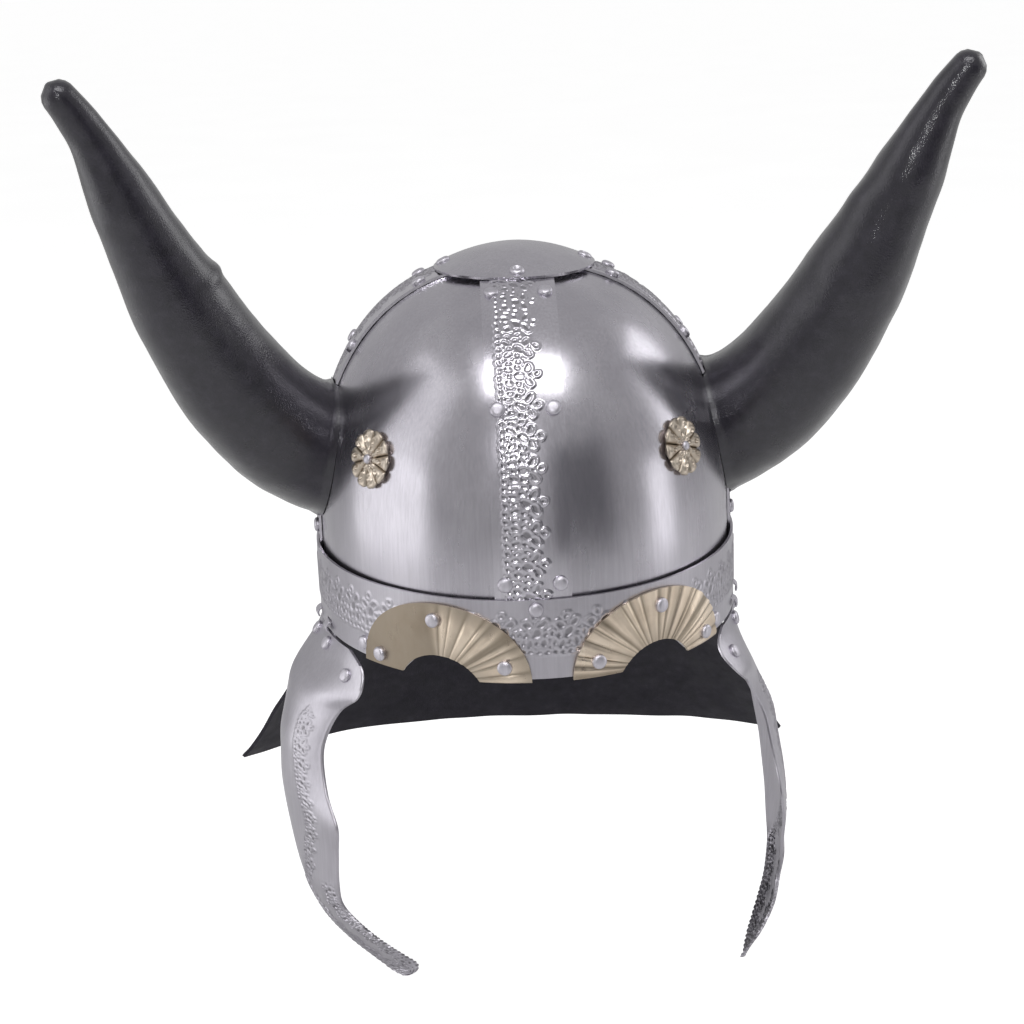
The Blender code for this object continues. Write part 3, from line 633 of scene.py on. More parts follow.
def sheet_faces(bm, outer, inner, column_spans, row_spans, closed, capped, holes):
    """The fine outer faces, the coarse inner ones, and walls along open edges and around holes."""
    count = len(outer[0])

    def row_wall(r, start, end):
        line = [outer[r][c % count] for c in range(start, end + 1)]
        bm.faces.new(line + [inner[r, end % count], inner[r, start]])

    def column_wall(c, start, end):
        line = [outer[r][c % count] for r in range(start, end + 1)]
        bm.faces.new(line + [inner[end, c % count], inner[start, c % count]])

    for row_start, row_end in row_spans:
        for start, end in column_spans:
            if (row_start, start) in holes:
                row_wall(row_start, start, end)
                row_wall(row_end, start, end)
                column_wall(start, row_start, row_end)
                column_wall(end, row_start, row_end)
                continue
            for r in range(row_start, row_end):
                for c in range(start, end):
                    a, b = c % count, (c + 1) % count
                    bm.faces.new((outer[r][a], outer[r][b], outer[r + 1][b], outer[r + 1][a]))
            a, b = start % count, end % count
            bm.faces.new((inner[row_start, a], inner[row_end, a], inner[row_end, b], inner[row_start, b]))
    last_row = row_spans[-1][1]
    for start, end in column_spans:
        row_wall(0, start, end)
        if not capped:
            row_wall(last_row, start, end)
    if capped:
        bm.faces.new(outer[-1])
        bm.faces.new([inner[last_row, start] for start, _ in column_spans])
    if not closed:
        for row_start, row_end in row_spans:
            column_wall(0, row_start, row_end)
            column_wall(count - 1, row_start, row_end)


def relief_sheet(place, columns, rows, relief, column_marks, row_marks, thickness, closed=False,
                 capped=False, holes=(), tone=None, through=0.0):
    """A closed body whose outer face carries a fine relief and whose inner face is coarser.
    place(u, v, lift) gives a point, the marks are the fine places that the inner face uses, and
    through is the share of the relief that it follows."""
    bm = bmesh.new()
    layer = bm.verts.layers.float.new("relief")
    if tone is None:
        tone = relief / max(1e-9, float(np.max(relief)))
    outer = []
    for r, v in enumerate(rows):
        points = [place(u, v, float(relief[r][c])) for c, u in enumerate(columns)]
        outer.append([toned_point(bm, layer, point, float(tone[r][c])) for c, point in enumerate(points)])
    inner = {}
    for r in row_marks:
        for c in column_marks:
            point = place(columns[c], rows[r], through * float(relief[r][c]) - thickness)
            inner[r, c] = toned_point(bm, layer, point, 0.5 + (float(tone[r][c]) - 0.5) * through)
    column_spans = spans(column_marks, len(columns), closed)
    sheet_faces(bm, outer, inner, column_spans, spans(row_marks, 0, False), closed, capped, holes)
    return bm


def skin(bm, loops):
    """Closes a run of equal loops into one body, with a face over each end."""
    count = len(loops[0])
    for low, high in zip(loops, loops[1:]):
        for i in range(count):
            j = (i + 1) % count
            bm.faces.new((low[i], low[j], high[j], high[i]))
    bm.faces.new(loops[0][::-1])
    bm.faces.new(loops[-1])


def upright(normal):
    """A turn that takes +Z to the normal."""
    return normal.to_track_quat("Z", "Y").to_matrix().to_4x4()


Turned = namedtuple("Turned", "out up")
RIVET_PROFILE = (
    Turned(0.97, -0.27),
    Turned(1.00, 0.10),
    Turned(1.00, 0.34),
    Turned(0.96, 0.56),
    Turned(0.86, 0.76),
    Turned(0.70, 0.89),
    Turned(0.48, 0.97),
    Turned(0.22, 1.00),
)
WASHER_PROFILE = (
    Turned(1.00, -0.27),
    Turned(1.04, 0.05),
    Turned(1.00, 0.28),
    Turned(0.84, 0.52),
    Turned(0.64, 0.62),
    Turned(0.50, 0.52),
    Turned(0.40, 0.30),
    Turned(0.24, 0.22),
)


def add_rivet(bm, point, normal, seed, profile=RIVET_PROFILE, radius=RIVET_RADIUS):
    """One turned rivet head, set a little askew as hand riveting leaves it."""
    lean = Vector((noise.noise((seed, 0.3, 0)), noise.noise((seed, 7.3, 0)), noise.noise((seed, 3, 9))))
    axis = (normal + lean * 0.09).normalized()
    size = radius * (1 + 0.07 * noise.noise((seed * 1.7, 2.2, 5.1)))
    place = Matrix.Translation(point) @ upright(axis)
    loops = []
    for step in profile:
        loop = []
        for turn in even_turns(RIVET_SIDES):
            ragged = 1 + 0.02 * noise.noise((math.cos(turn) * 1.4, math.sin(turn) * 1.4, seed * 3.1))
            spot = Vector((math.cos(turn), math.sin(turn), 0)) * step.out * size * ragged
            spot.z = step.up * RIVET_HEIGHT
            loop.append(bm.verts.new(place @ spot))
        loops.append(loop)
    skin(bm, loops)


def rivet_set(name, places, body="shell", profile=RIVET_PROFILE, radius=RIVET_RADIUS):
    """Rivet heads at pairs of point and outward normal."""
    bm = bmesh.new()
    for seed, (point, normal) in enumerate(places):
        add_rivet(bm, point, normal, seed + len(name) * 0.37, profile, radius)
    return add_piece(name, bm, "rivet", body, PLAIN_SHARP)


# The skull's surface
Level = namedtuple("Level", "drop angle")


def skull_level(angle, stand_off):
    """Height and share of the full width, at an angle of climb from the brow band's top edge."""
    climb = math.radians(angle)
    height = BROW_HEIGHT + (SKULL_RISE + stand_off) * math.sin(climb) ** (2 / PROFILE_UP)
    return height, math.cos(climb) ** (2 / PROFILE_OUT)


def share_at(height, stand_off):
    climbed = max(0.0, height - BROW_HEIGHT) / (SKULL_RISE + stand_off)
    return max(0.0, 1 - climbed**PROFILE_UP) ** (1 / PROFILE_OUT)


def plan_point(azimuth, lateral, share, height, stand_off):
    """The point of the skull's surface that lies beside the line out at this azimuth."""
    half_width = (SKULL_HALF_WIDTH + stand_off) * share
    half_length = (SKULL_HALF_LENGTH + stand_off) * share
    out = Vector((math.sin(azimuth), -math.cos(azimuth)))
    aside = Vector((math.cos(azimuth), math.sin(azimuth))) * lateral
    a = (out.x / half_width) ** 2 + (out.y / half_length) ** 2
    b = out.x * aside.x / half_width**2 + out.y * aside.y / half_length**2
    c = (aside.x / half_width) ** 2 + (aside.y / half_length) ** 2 - 1
    reach = (-b + math.sqrt(b * b - a * c)) / a
    return Vector((*(aside + out * reach), height))


def skull_point(azimuth, lateral, height, stand_off):
    return plan_point(azimuth, lateral, share_at(height, stand_off), height, stand_off)


def level_point(azimuth, lateral, level, stand_off):
    height, share = skull_level(level.angle, stand_off)
    return plan_point(azimuth, lateral, share, height - level.drop, stand_off)


def even_levels(azimuth, hem, top_angle, stand_off, step):
    """Levels a step apart along the skull's side, from a hem to an angle of climb, and that step."""
    samples = [Level(BROW_HEIGHT - hem, 0.0)]
    samples += [Level(0.0, top_angle * (i / 500) ** 1.2) for i in range(501)]
    points = [level_point(azimuth, 0, level, stand_off) for level in samples]
    lengths = np.cumsum([0.0] + [(b - a).length for a, b in zip(points, points[1:])])
    count = int(lengths[-1] / step)
    arcs = np.linspace(0, lengths[-1], count + 1)
    drops = np.interp(arcs, lengths, [level.drop for level in samples])
    angles = np.interp(arcs, lengths, [level.angle for level in samples])
    return [Level(drop, angle) for drop, angle in zip(drops, angles)], arcs


def skull_normal(azimuth, height, stand_off):
    low = skull_point(azimuth, 0, height - PROBE, stand_off)
    high = skull_point(azimuth, 0, height + PROBE, stand_off)
    left = skull_point(azimuth, -PROBE, height, stand_off)
    right = skull_point(azimuth, PROBE, height, stand_off)
    return (right - left).cross(high - low).normalized()


def ring_point(turn, height, stand_off):
    """A point on the brow band's upright oval, by its turn in degrees from the front."""
    angle = math.radians(turn)
    half_width = SKULL_HALF_WIDTH + stand_off
    half_length = SKULL_HALF_LENGTH + stand_off
    return Vector((half_width * math.sin(angle), -half_length * math.cos(angle), height))


def ring_normal(turn):
    angle = math.radians(turn)
    return Vector(
        (math.sin(angle) / SKULL_HALF_WIDTH, -math.cos(angle) / SKULL_HALF_LENGTH, 0)
    ).normalized()


# Embossed lace
def lace(across, along, size=1.0):
    """Height from 0 to 1 of embossed lace, a raised rim round every eyelet and cell, and its tone,
    from 0 in a pit through 0.5 on the plain sheet to 1 on a ridge."""
    across = np.asarray(across, dtype=float) / size
    along = np.asarray(along, dtype=float) / size
    across = across + 0.00025 * np.sin(along * 610) + 0.00015 * np.sin(along * 1730 + across * 900)
    along = along + 0.00025 * np.sin(across * 880 + along * 290)
    local = along - np.round(along / LACE_PERIOD) * LACE_PERIOD
    nearest = np.full(local.shape, 1.0)
    for hole in LACE_HOLES:
        cos, sin = math.cos(hole.tilt), math.sin(hole.tilt)
        for shift in (-LACE_PERIOD, 0.0, LACE_PERIOD):
            x, y = across - hole.across, local - hole.along - shift
            a, b = x * cos - y * sin, x * sin + y * cos
            near = np.hypot(a / hole.half_across, b / hole.half_along)
            slope = np.hypot(a / hole.half_across**2, b / hole.half_along**2)
            nearest = np.minimum(nearest, near * (near - 1) / np.maximum(slope, 1e-6))
    ridge = smooth(nearest / LACE_SLOPE) * (1 - smooth((nearest - LACE_RIDGE) / LACE_SLOPE))
    # The tone falls to 0 in the middles of the eyelets and cells, which the steels paint dark as painted
    # shade
    pit = smooth((0.0001 - nearest) / 0.0004)
    return ridge, 0.5 + ridge / 2 - pit / 2


def dents(point, depth):
    """Slow unevenness of hand-beaten sheet."""
    return depth * (noise.noise(point * 24) + 0.35 * noise.noise(point * 60))


# Skull plates and cross bands
def skull_plate(name, quarter):
    start = quarter * math.pi / 2 + SKULL_TURN
    levels, _ = even_levels(start, SKULL_HEM, CROWN_HOLE_ANGLE, 0, PLATE_STEP)

    def place(u, level, lift):
        azimuth = start + u * math.pi / 2
        seam = PLATE_SEAM / 2 * (1 if u == 0 else -1 if u == 1 else 0)
        point = level_point(azimuth, seam, level, 0)
        return level_point(azimuth, seam, level, lift + dents(point, PLATE_DENTS))

    relief = np.zeros((len(levels), PLATE_COLUMNS + 1))
    shares = even_shares(PLATE_COLUMNS)
    marks, row_marks = every(PLATE_COLUMNS, 4), every(len(levels) - 1, 3)
    bm = relief_sheet(place, shares, levels, relief, marks, row_marks, SHEET)
    add_piece(name + "_sheet", bm, "plate", "shell", PLAIN_SHARP, name)


def cross_band(name, quarter, rivet_shares, step):
    azimuth = quarter * math.pi / 2 + SKULL_TURN
    levels, arcs = even_levels(azimuth, BAND_HEM, BAND_TOP_ANGLE, BAND_LIFT, step)
    columns = int(BAND_WIDTH / step)
    laterals = [BAND_WIDTH * (i / columns - 0.5) for i in range(columns + 1)]
    across = np.array(laterals) + BAND_WIDTH / 2 - BAND_LACE_START
    along, across = np.meshgrid(arcs[-1] - arcs, across, indexing="ij")
    ridges, tone = lace(across, along)

    def place(lateral, level, lift):
        return level_point(azimuth, lateral, level, BAND_LIFT + lift)

    marks, row_marks = every(columns, 12), every(len(levels) - 1, 14)
    bm = relief_sheet(
        place, laterals, levels, ridges * LACE_RELIEF, marks, row_marks, SHEET, tone=tone
    )
    add_piece(name + "_sheet", bm, "lace", "shell", RELIEF_SHARP, name)
    places = []
    for share in rivet_shares:
        height = BROW_HEIGHT + SKULL_RISE * share
        normal = skull_normal(azimuth, height, BAND_LIFT)
        for lateral in (-BAND_RIVET_SPREAD, BAND_RIVET_SPREAD):
            places.append((skull_point(azimuth, lateral, height, BAND_LIFT), normal))
    rivet_set("rivets_" + name, places)


# Crown cap
def cap_height(share):
    rim = (CAP_HALF_WIDTH - SHEET) / (SKULL_HALF_WIDTH + BAND_LIFT)
    climbed = (1 - rim**PROFILE_OUT) ** (1 / PROFILE_UP)
    rim_height = BROW_HEIGHT + (SKULL_RISE + BAND_LIFT) * climbed
    return rim_height + GAP + SHEET + CAP_RISE * (1 - share * share)


def cap_point(azimuth, share, lift=0.0):
    return Vector(
        (
            CAP_HALF_WIDTH * share * math.sin(azimuth),
            -CAP_HALF_LENGTH * share * math.cos(azimuth),
            cap_height(share) + lift,
        )
    )


def crown_cap():
    turns = even_turns(CAP_SIDES)
    shares = [1 - 0.97 * i / CAP_RINGS for i in range(CAP_RINGS + 1)]

    def place(turn, share, lift):
        point = cap_point(turn, share, lift)
        return point + UP * dents(point, CAP_DENTS)

    relief = np.zeros((CAP_RINGS + 1, CAP_SIDES))
    marks, row_marks = list(range(0, CAP_SIDES, 4)), every(CAP_RINGS, 4)
    bm = relief_sheet(
        place, turns, shares, relief, marks, row_marks, SHEET, closed=True, capped=True
    )
    add_piece("crown_cap_sheet", bm, "plate", "shell", PLAIN_SHARP, "crown_cap")
    places = []
    for quarter in range(4):
        azimuth = quarter * math.pi / 2 + SKULL_TURN
        slope = 2 * CAP_RISE * CAP_RIVET_SHARE / CAP_HALF_WIDTH
        out = Vector((math.sin(azimuth), -math.cos(azimuth), 0))
        places.append((cap_point(azimuth, CAP_RIVET_SHARE), (out * slope + UP).normalized()))
    rivet_set("rivets_crown_cap", places, profile=WASHER_PROFILE)


# Brow band
def ring_pace(turn, stand_off=BROW_OUTER):
    """Metres along the ring for each radian of turn."""
    angle = math.radians(turn)
    return math.hypot(
        (SKULL_HALF_WIDTH + stand_off) * math.cos(angle),
        (SKULL_HALF_LENGTH + stand_off) * math.sin(angle),
    )


def turn_at(middle_turn, along):
    return middle_turn + math.degrees(along / ring_pace(middle_turn))


def arch_circle(margin):
    span, rise = ARCH_HALF_SPAN + margin, ARCH_RISE + margin
    radius = (span * span + rise * rise) / (2 * rise)
    return radius, rise - PLATE_OVERHANG - radius


def arch_reach():
    """How far from its middle the arch's cut meets the lower edge."""
    radius, centre = arch_circle(ARCH_MARGIN)
    return math.sqrt(radius**2 - centre**2)


def lower_edge(turn):
    """Height of the brow band's lower edge, raised over the eye arches."""
    radius, centre = arch_circle(ARCH_MARGIN)
    for sign in SIDES.values():
        along = math.radians(turn - sign * PLATE_TURN) * ring_pace(PLATE_TURN)
        if abs(along) < arch_reach():
            return centre + math.sqrt(radius**2 - along**2)
    return 0.0


def rim_line(sign, turn):
    """A short straight line along the brow band's middle: its middle and its forward direction."""
    stand_off = (BROW_INNER + BROW_OUTER) / 2
    reach = math.degrees(LOOP_SPACING / 2 / ring_pace(sign * turn, stand_off))
    front = ring_point(sign * (turn - reach), HINGE_HEIGHT, stand_off)
    rear = ring_point(sign * (turn + reach), HINGE_HEIGHT, stand_off)
    return (front + rear) / 2, (front - rear).normalized()


def hinge_centres(side):
    """The centres of the rear and the front hinge loop."""
    middle, forward = rim_line(SIDES[side], GUARD_HANGS[side].hinge_turn)
    return [middle + forward * end * LOOP_SPACING / 2 for end in (-1, 1)]


def slot_turns(centre):
    """The turns at a slot's two ends."""
    turn = math.degrees(math.atan2(centre.x / SKULL_HALF_WIDTH, -centre.y / SKULL_HALF_LENGTH))
    return turn_at(turn, -SLOT_WIDTH / 2), turn_at(turn, SLOT_WIDTH / 2)


def brow_stations():
    """Every mark round the brow band, the fine turns between them and the slots' own marks."""
    slots = [slot_turns(centre) for side in SIDES for centre in hinge_centres(side)]
    fixed = [turn for pair in slots for turn in pair]
    for sign in SIDES.values():
        fixed += [turn_at(sign * PLATE_TURN, end * arch_reach()) for end in (-1, 1)]
    plain = [-180 + COARSE_TURN * i for i in range(int(360 / COARSE_TURN))]
    plain = [turn for turn in plain if min(abs(turn - other) for other in fixed) > COARSE_TURN * 0.3]
    coarse = sorted(plain + fixed)
    turns, marks = [], []
    for start, end in zip(coarse, coarse[1:] + [coarse[0] + 360]):
        marks.append(len(turns))
        arc = math.radians(end - start) * ring_pace((start + end) / 2)
        steps = max(1, math.ceil(arc / WIDE_STEP))
        turns += [start + (end - start) * i / steps for i in range(steps)]
    slot_marks = [marks[coarse.index(pair[0])] for pair in slots]
    return turns, marks, slot_marks


def brow_band():
    turns, marks, slot_marks = brow_stations()
    lows = {turn: lower_edge(turn) for turn in turns}
    heights = [0.0, SLOT_BOTTOM, SLOT_TOP, BROW_LACE_START]
    fine = int((BROW_HEIGHT - BROW_LACE_START) / WIDE_STEP)
    heights += [BROW_LACE_START + (BROW_HEIGHT - BROW_LACE_START) * i / fine for i in range(1, fine + 1)]
    rows = [height / BROW_HEIGHT for height in heights]
    paces = [ring_pace(turn) for turn in turns]
    steps = np.diff(turns + [turns[0] + 360])
    arcs = np.concatenate(([0.0], np.cumsum(np.radians(steps) * paces)[:-1]))
    front = arcs[int(np.argmin(np.abs(turns)))]
    low = np.array([lows[turn] for turn in turns])
    height = low[None, :] + (BROW_HEIGHT - low[None, :]) * np.array(rows)[:, None]
    along = np.broadcast_to(arcs - front + LACE_PERIOD * BROW_LACE_SIZE / 2, height.shape)
    ridges, tone = lace(height - BROW_LACE_START, along, BROW_LACE_SIZE)
    crisp = 1 - smooth((np.abs(turns) - BROW_CRISP_TURN) / BROW_WEAR_TURN)
    worn = BROW_LACE_WORN + (1 - BROW_LACE_WORN) * crisp
    relief = ridges * worn[None, :] * LACE_RELIEF

    def place(turn, share, lift):
        low = lows[turn]
        return ring_point(turn, low + (BROW_HEIGHT - low) * share, BROW_OUTER + lift)

    row_marks = [0, 1, 2, 3, 3 + fine // 2, 3 + fine]
    holes = {(1, mark) for mark in slot_marks}
    bm = relief_sheet(
        place, turns, rows, relief, marks, row_marks, SHEET, closed=True, holes=holes, tone=tone
    )
    add_piece("brow_band_sheet", bm, "brow", "shell", RELIEF_SHARP, "brow_band")
    spots = [(math.degrees(SKULL_TURN) + quarter * 180, BROW_TOP_RIVET) for quarter in (0, 1)]
    spots += [(sign * CORNER_RIVET_TURN, CORNER_RIVET_HEIGHT) for sign in (-1, 1)]
    spots += [(turn, NECK_RIVET_HEIGHT) for turn in NECK_RIVET_TURNS]
    spots += [(-turn, NECK_RIVET_HEIGHT) for turn in NECK_RIVET_TURNS[:-1]]
    places = [(ring_point(turn, height, BROW_OUTER), ring_normal(turn)) for turn, height in spots]
    rivet_set("rivets_brow_band", places)


# Brow plates
def flute(fan, share, side):
    """The fluting's height from 0 to 1: hand-pressed rays, and a smooth outer half on the left plate."""
    ray = fan * FLUTES + 0.22 * math.sin(fan * 41) + 0.12 * math.sin(fan * 97 + 1)
    wave = abs(math.sin(math.pi * ray))
    strength = 0.72 + 0.28 * noise.noise((math.floor(ray) * 1.37, 4.1, 0))
    if side == "left":
        strength *= 1 - float(smooth((fan - FLUTES_END) / FLUTES_FADE))
        strength *= 1 - 0.75 * float(smooth((share - 0.55) / 0.45))
    return strength * wave * min(1.0, 0.35 + share * 1.1)


def brow_plate(side):
    name = "brow_plate_" + side
    sign = SIDES[side]
    radius, centre_height = arch_circle(0)
    low = math.asin(-(centre_height + PLATE_OVERHANG) / radius)
    columns = FLUTES * FLUTE_COLUMNS
    fans = even_shares(columns)
    shares = even_shares(PLATE_RINGS)

    def place(fan, share, lift):
        inner = low + (math.pi - 2 * low) * fan
        outer = math.pi * fan
        along = radius * math.cos(inner) * (1 - share) + PLATE_HALF_SPAN * math.cos(outer) * share
        height = (centre_height + radius * math.sin(inner)) * (1 - share)
        height += (PLATE_RISE * math.sin(outer) - PLATE_OVERHANG) * share
        stand_off = BROW_OUTER + GAP + BRASS_SHEET + lift
        return ring_point(turn_at(sign * PLATE_TURN, along), height, stand_off)

    relief = np.array([[flute(fan, share, side) * FLUTE_DEPTH for fan in fans] for share in shares])
    bm = relief_sheet(place, fans, shares, relief, every(columns, 6), every(PLATE_RINGS, 11), BRASS_SHEET)
    add_piece(name + "_sheet", bm, "brass", "shell", RELIEF_SHARP, name)
    places = []
    for turn, height in PLATE_RIVETS:
        stand_off = BROW_OUTER + GAP + BRASS_SHEET + FLUTE_DEPTH / 2
        places.append((ring_point(sign * turn, height, stand_off), ring_normal(sign * turn)))
    rivet_set("rivets_" + name, places)


# Rosettes
def petal_height(turn, share):
    """Height from 0 to 1 of a petal: a crowned leaf with a drop-shaped ring, cut by deep slots."""
    ray = turn / (2 * math.pi) * PETALS
    offset = abs(ray - round(ray)) * 2
    body = PETAL_BASE + PETAL_CROWN * math.cos(offset * math.pi / 2)
    slot = hill(offset, 1, PETAL_SLOT_WIDTH) * float(smooth((share - PETAL_SLOT_START) / 0.15))
    groove = 1 - PETAL_SLOT_DEPTH * slot
    aside = offset * share * math.pi / PETALS
    ring = math.hypot(aside / DROP_HALF_WIDTH, (share - DROP_PLACE) / DROP_HALF_LENGTH)
    rim = hill(ring, 1, 0.33) * DROP_RIM
    pit = -DROP_PIT * hill(ring, 0, 0.6)
    collar = COLLAR_HEIGHT * hill(share, COLLAR_PLACE, COLLAR_WIDTH)
    edge = 1 - float(smooth((share - PETAL_EDGE) / 0.09)) * PETAL_EDGE_FALL
    return max(PETAL_LOWEST, (body * edge + rim + pit) * groove + collar)


def rosette(side):
    name = "rosette_" + side
    azimuth = SIDES[side] * math.radians(ROSETTE_AZIMUTH) + SKULL_TURN
    normal = skull_normal(azimuth, ROSETTE_HEIGHT, 0)
    centre = skull_point(azimuth, 0, ROSETTE_HEIGHT, 0) + normal * GAP
    turned = Matrix.Translation(centre) @ upright(normal)
    sides, rings = PETALS * PETAL_COLUMNS, ROSETTE_RINGS
    turns = even_turns(sides)
    shares = [1 - 0.94 * i / rings for i in range(rings + 1)]

    def place(turn, share, lift):
        ray = turn / (2 * math.pi) * PETALS
        notch = 1 - PETAL_NOTCH * (abs(ray - round(ray)) * 2) ** 4 * share**6
        out = ROSETTE_RADIUS * share * notch
        return turned @ Vector((out * math.cos(turn), out * math.sin(turn), lift))

    relief = np.array(
        [[petal_height(turn, share) * ROSETTE_THICKNESS * 1.15 for turn in turns] for share in shares]
    )
    marks = list(range(0, sides, 8))
    bm = relief_sheet(place, turns, shares, relief, marks, every(rings, 13), 0.0, closed=True, capped=True)
    add_piece(name + "_flower", bm, "rosette", "shell", RELIEF_SHARP, name)
    hub = centre + normal * ROSETTE_THICKNESS * 0.75
    rivet_set("rivet_" + name, [(hub, normal)], radius=HUB_RADIUS)


# Horns
def horn_centre(share, sign):
    places = (HORN_ROOT, HORN_BEND_LOW, HORN_BEND_HIGH, HORN_TIP)
    weights = (
        (1 - share) ** 3,
        3 * (1 - share) ** 2 * share,
        3 * (1 - share) * share**2,
        share**3,
    )
    point = sum((Vector(place) * weight for place, weight in zip(places, weights)), Vector())
    hook = max(0.0, share - HORN_HOOK_START) / (1 - HORN_HOOK_START)
    point += Vector(HORN_HOOK) * hook * hook
    point += HORN_DRIFTS[sign] * share * share
    return Vector((point.x * sign, point.y, point.z))


def horn_point(share, turn, sign):
    """A point of the leather's smooth surface, by its place along and round, and the way out there."""
    step = 0.002
    centre = horn_centre(share, sign)
    tangent = (horn_centre(share + step, sign) - horn_centre(share - step, sign)).normalized()
    inner = tangent.cross(Vector((0, sign, 0))).normalized()
    front = tangent.cross(inner)
    girth = HORN_RADIUS * HORN_SWELL[sign] * table_value(HORN_GIRTHS, "along", "thickness", share)
    left = max(0.0, (share - 1 + HORN_ROUND_TIP) / HORN_ROUND_TIP)
    girth *= math.sqrt(max(0.0, 1 - left**2.2))
    out = inner * math.cos(turn) + front * math.sin(turn) * sign
    return centre + out * girth, out


def horn_relief(point, share, turn, side):
    """Folds, puckers and the sewn seam of the leather cover."""
    from_seam = math.remainder(turn - HORN_SEAM, 2 * math.pi)
    fade = min(1.0, (1 - share) * 9)
    lumps = 0.0003 * noise.noise(point * 33) + 0.0002 * noise.noise(point * 110)
    pucker = abs(noise.noise(Vector((share * HORN_FOLD_COUNT, turn * 1.3, 5.0 * SIDES[side]))))
    pucker *= HORN_FOLD_HEIGHT * hill(from_seam, 0, HORN_FOLD_SPREAD)
    width = HORN_SEAM_WIDTH + HORN_SEAM_WIDENING * share
    seam = HORN_SEAM_HEIGHT * hill(from_seam, 0, width)
    stitch = HORN_STITCH_HEIGHT * math.sin(share * HORN_STITCH_PACE) * hill(from_seam, 0, width * 2)
    knot = HORN_KNOTS[side]
    from_knot = math.remainder(turn - knot.turn, 2 * math.pi)
    bulge = knot.height * hill(share, knot.along, knot.length) * hill(from_knot, 0, KNOT_SPREAD)
    return (lumps + pucker + seam + stitch + bulge) * fade


def foot_stand_off(point, sign):
    """How far the horn's foot stands off the skull: over the side band, or against the plates."""
    azimuth = sign * math.pi / 2 + SKULL_TURN
    lateral = abs(point.x * math.cos(azimuth) + point.y * math.sin(azimuth))
    over = 1 - float(smooth((lateral - BAND_WIDTH / 2 - 0.0002) / 0.0012))
    return GAP + (BAND_LIFT + LACE_RELIEF) * over


def outside_skull(point, sign):
    """Over 1 outside the surface that the horn's foot rests on, and under 1 inside it."""
    stand_off = foot_stand_off(point, sign)
    share = share_at(point.z, stand_off)
    return math.hypot(
        point.x / ((SKULL_HALF_WIDTH + stand_off) * share),
        point.y / ((SKULL_HALF_LENGTH + stand_off) * share),
    )


def foot_share(turn, sign):
    """Where along the horn this line of its surface leaves the skull."""
    low, high = 0.0, 0.45
    for _ in range(26):
        middle = (low + high) / 2
        if outside_skull(horn_point(middle, turn, sign)[0], sign) < 1:
            low = middle
        else:
            high = middle
    return high


def horn_foot(bm, edge, sign):
    """Loops that close the foot against the skull, from near its middle out to its edge."""
    loops = [edge]
    for ring in range(1, HORN_FOOT_RINGS):
        middle = sum((vert.co for vert in loops[0]), Vector()) / HORN_SIDES
        line = []
        for vert in edge:
            spot = vert.co.lerp(middle, ring / HORN_FOOT_RINGS)
            scale = 1 / outside_skull(spot, sign)
            line.append(bm.verts.new((spot.x * scale, spot.y * scale, spot.z)))
        loops.insert(0, line)
    return loops


def horn(side):
    name = "horn_" + side
    sign = SIDES[side]
    turns = even_turns(HORN_SIDES)
    starts = [foot_share(turn, sign) for turn in turns]
    bm = bmesh.new()
    loops = []
    for station in range(HORN_STATIONS + 1):
        way = station / HORN_STATIONS
        line = []
        for turn, start in zip(turns, starts):
            share = min(0.9998, start + (1 - start) * way)
            point, out = horn_point(share, turn, sign)
            hem = HORN_HEM_HEIGHT * hill(way, 0, HORN_HEM_LENGTH)
            lift = horn_relief(point, share, turn, side) if station else 0.0
            line.append(bm.verts.new(point + out * (lift + hem)))
        loops.append(line)
    skin(bm, horn_foot(bm, loops[0], sign) + loops[1:])
    add_piece(name + "_leather", bm, "horn", "shell", PLAIN_SHARP, name)


# Cheek guards
def smooth_bows():
    """The guard's outward bow at even steps down its length, with the table's corners rounded."""
    places = np.linspace(-0.2, 1.3, BOW_SAMPLES)
    values = np.interp(places, [row.down for row in GUARD_BOWS], [row.out for row in GUARD_BOWS])
    low, high = GUARD_BOWS[-2:]
    slope = (high.out - low.out) / (high.down - low.down)
    values = np.where(places > 1, high.out + slope * (places - 1), values)
    offsets = places[:, None] - places[None, :]
    weights = np.exp(-((offsets / BOW_BLUR) ** 2) / 2)
    return places, (weights @ values) / weights.sum(axis=1)


BOW_PLACES, BOW_VALUES = smooth_bows()



def guard_point(side, along, down, across, lift=0.0):
    """A point of a guard's outer face, by its place along the hinge line, below the rim and across."""
    sign = SIDES[side]
    hang = GUARD_HANGS[side]
    middle, forward = rim_line(sign, hang.sheet_turn)
    outward = UP.cross(forward) * sign
    share = down / GUARD_LENGTH
    ease = min(1.0, down / GUARD_EASE_DEPTH)
    eased = ease * ease * (3 - 2 * ease)
    curl = TIP_CURL * across * max(0.0, share - TIP_START) / (1 - TIP_START)
    bow = GUARD_STAND_OUT * float(np.interp(share + curl, BOW_PLACES, BOW_VALUES))
    crown = GUARD_CROWN * 4 * across * (1 - across) * (1 - GUARD_CROWN_FADE * share)
    bend = GUARD_BENDS[side]
    bow += bend.middle * hill(share, GUARD_WAIST, GUARD_WAIST_LENGTH)
    bow += bend.flare * across * hill(share, GUARD_WAIST, GUARD_FLARE_LENGTH)
    near_tip = float(smooth((share - GUARD_BEND_START) / GUARD_BEND_LENGTH))
    bow += (bend.tip - bend.turn * (across - 0.5)) * near_tip
    rim_sag = along * along / (2 * RIM_CURVE)
    twist = Matrix.Rotation(-sign * hang.twist * eased, 3, "Z")
    stand_out = bow + (crown + hang.shift) * eased - rim_sag * (1 - eased) + SHEET / 2 + lift
    flat = forward * along + outward * stand_out
    return Vector((middle.x, middle.y, -down)) + twist @ flat


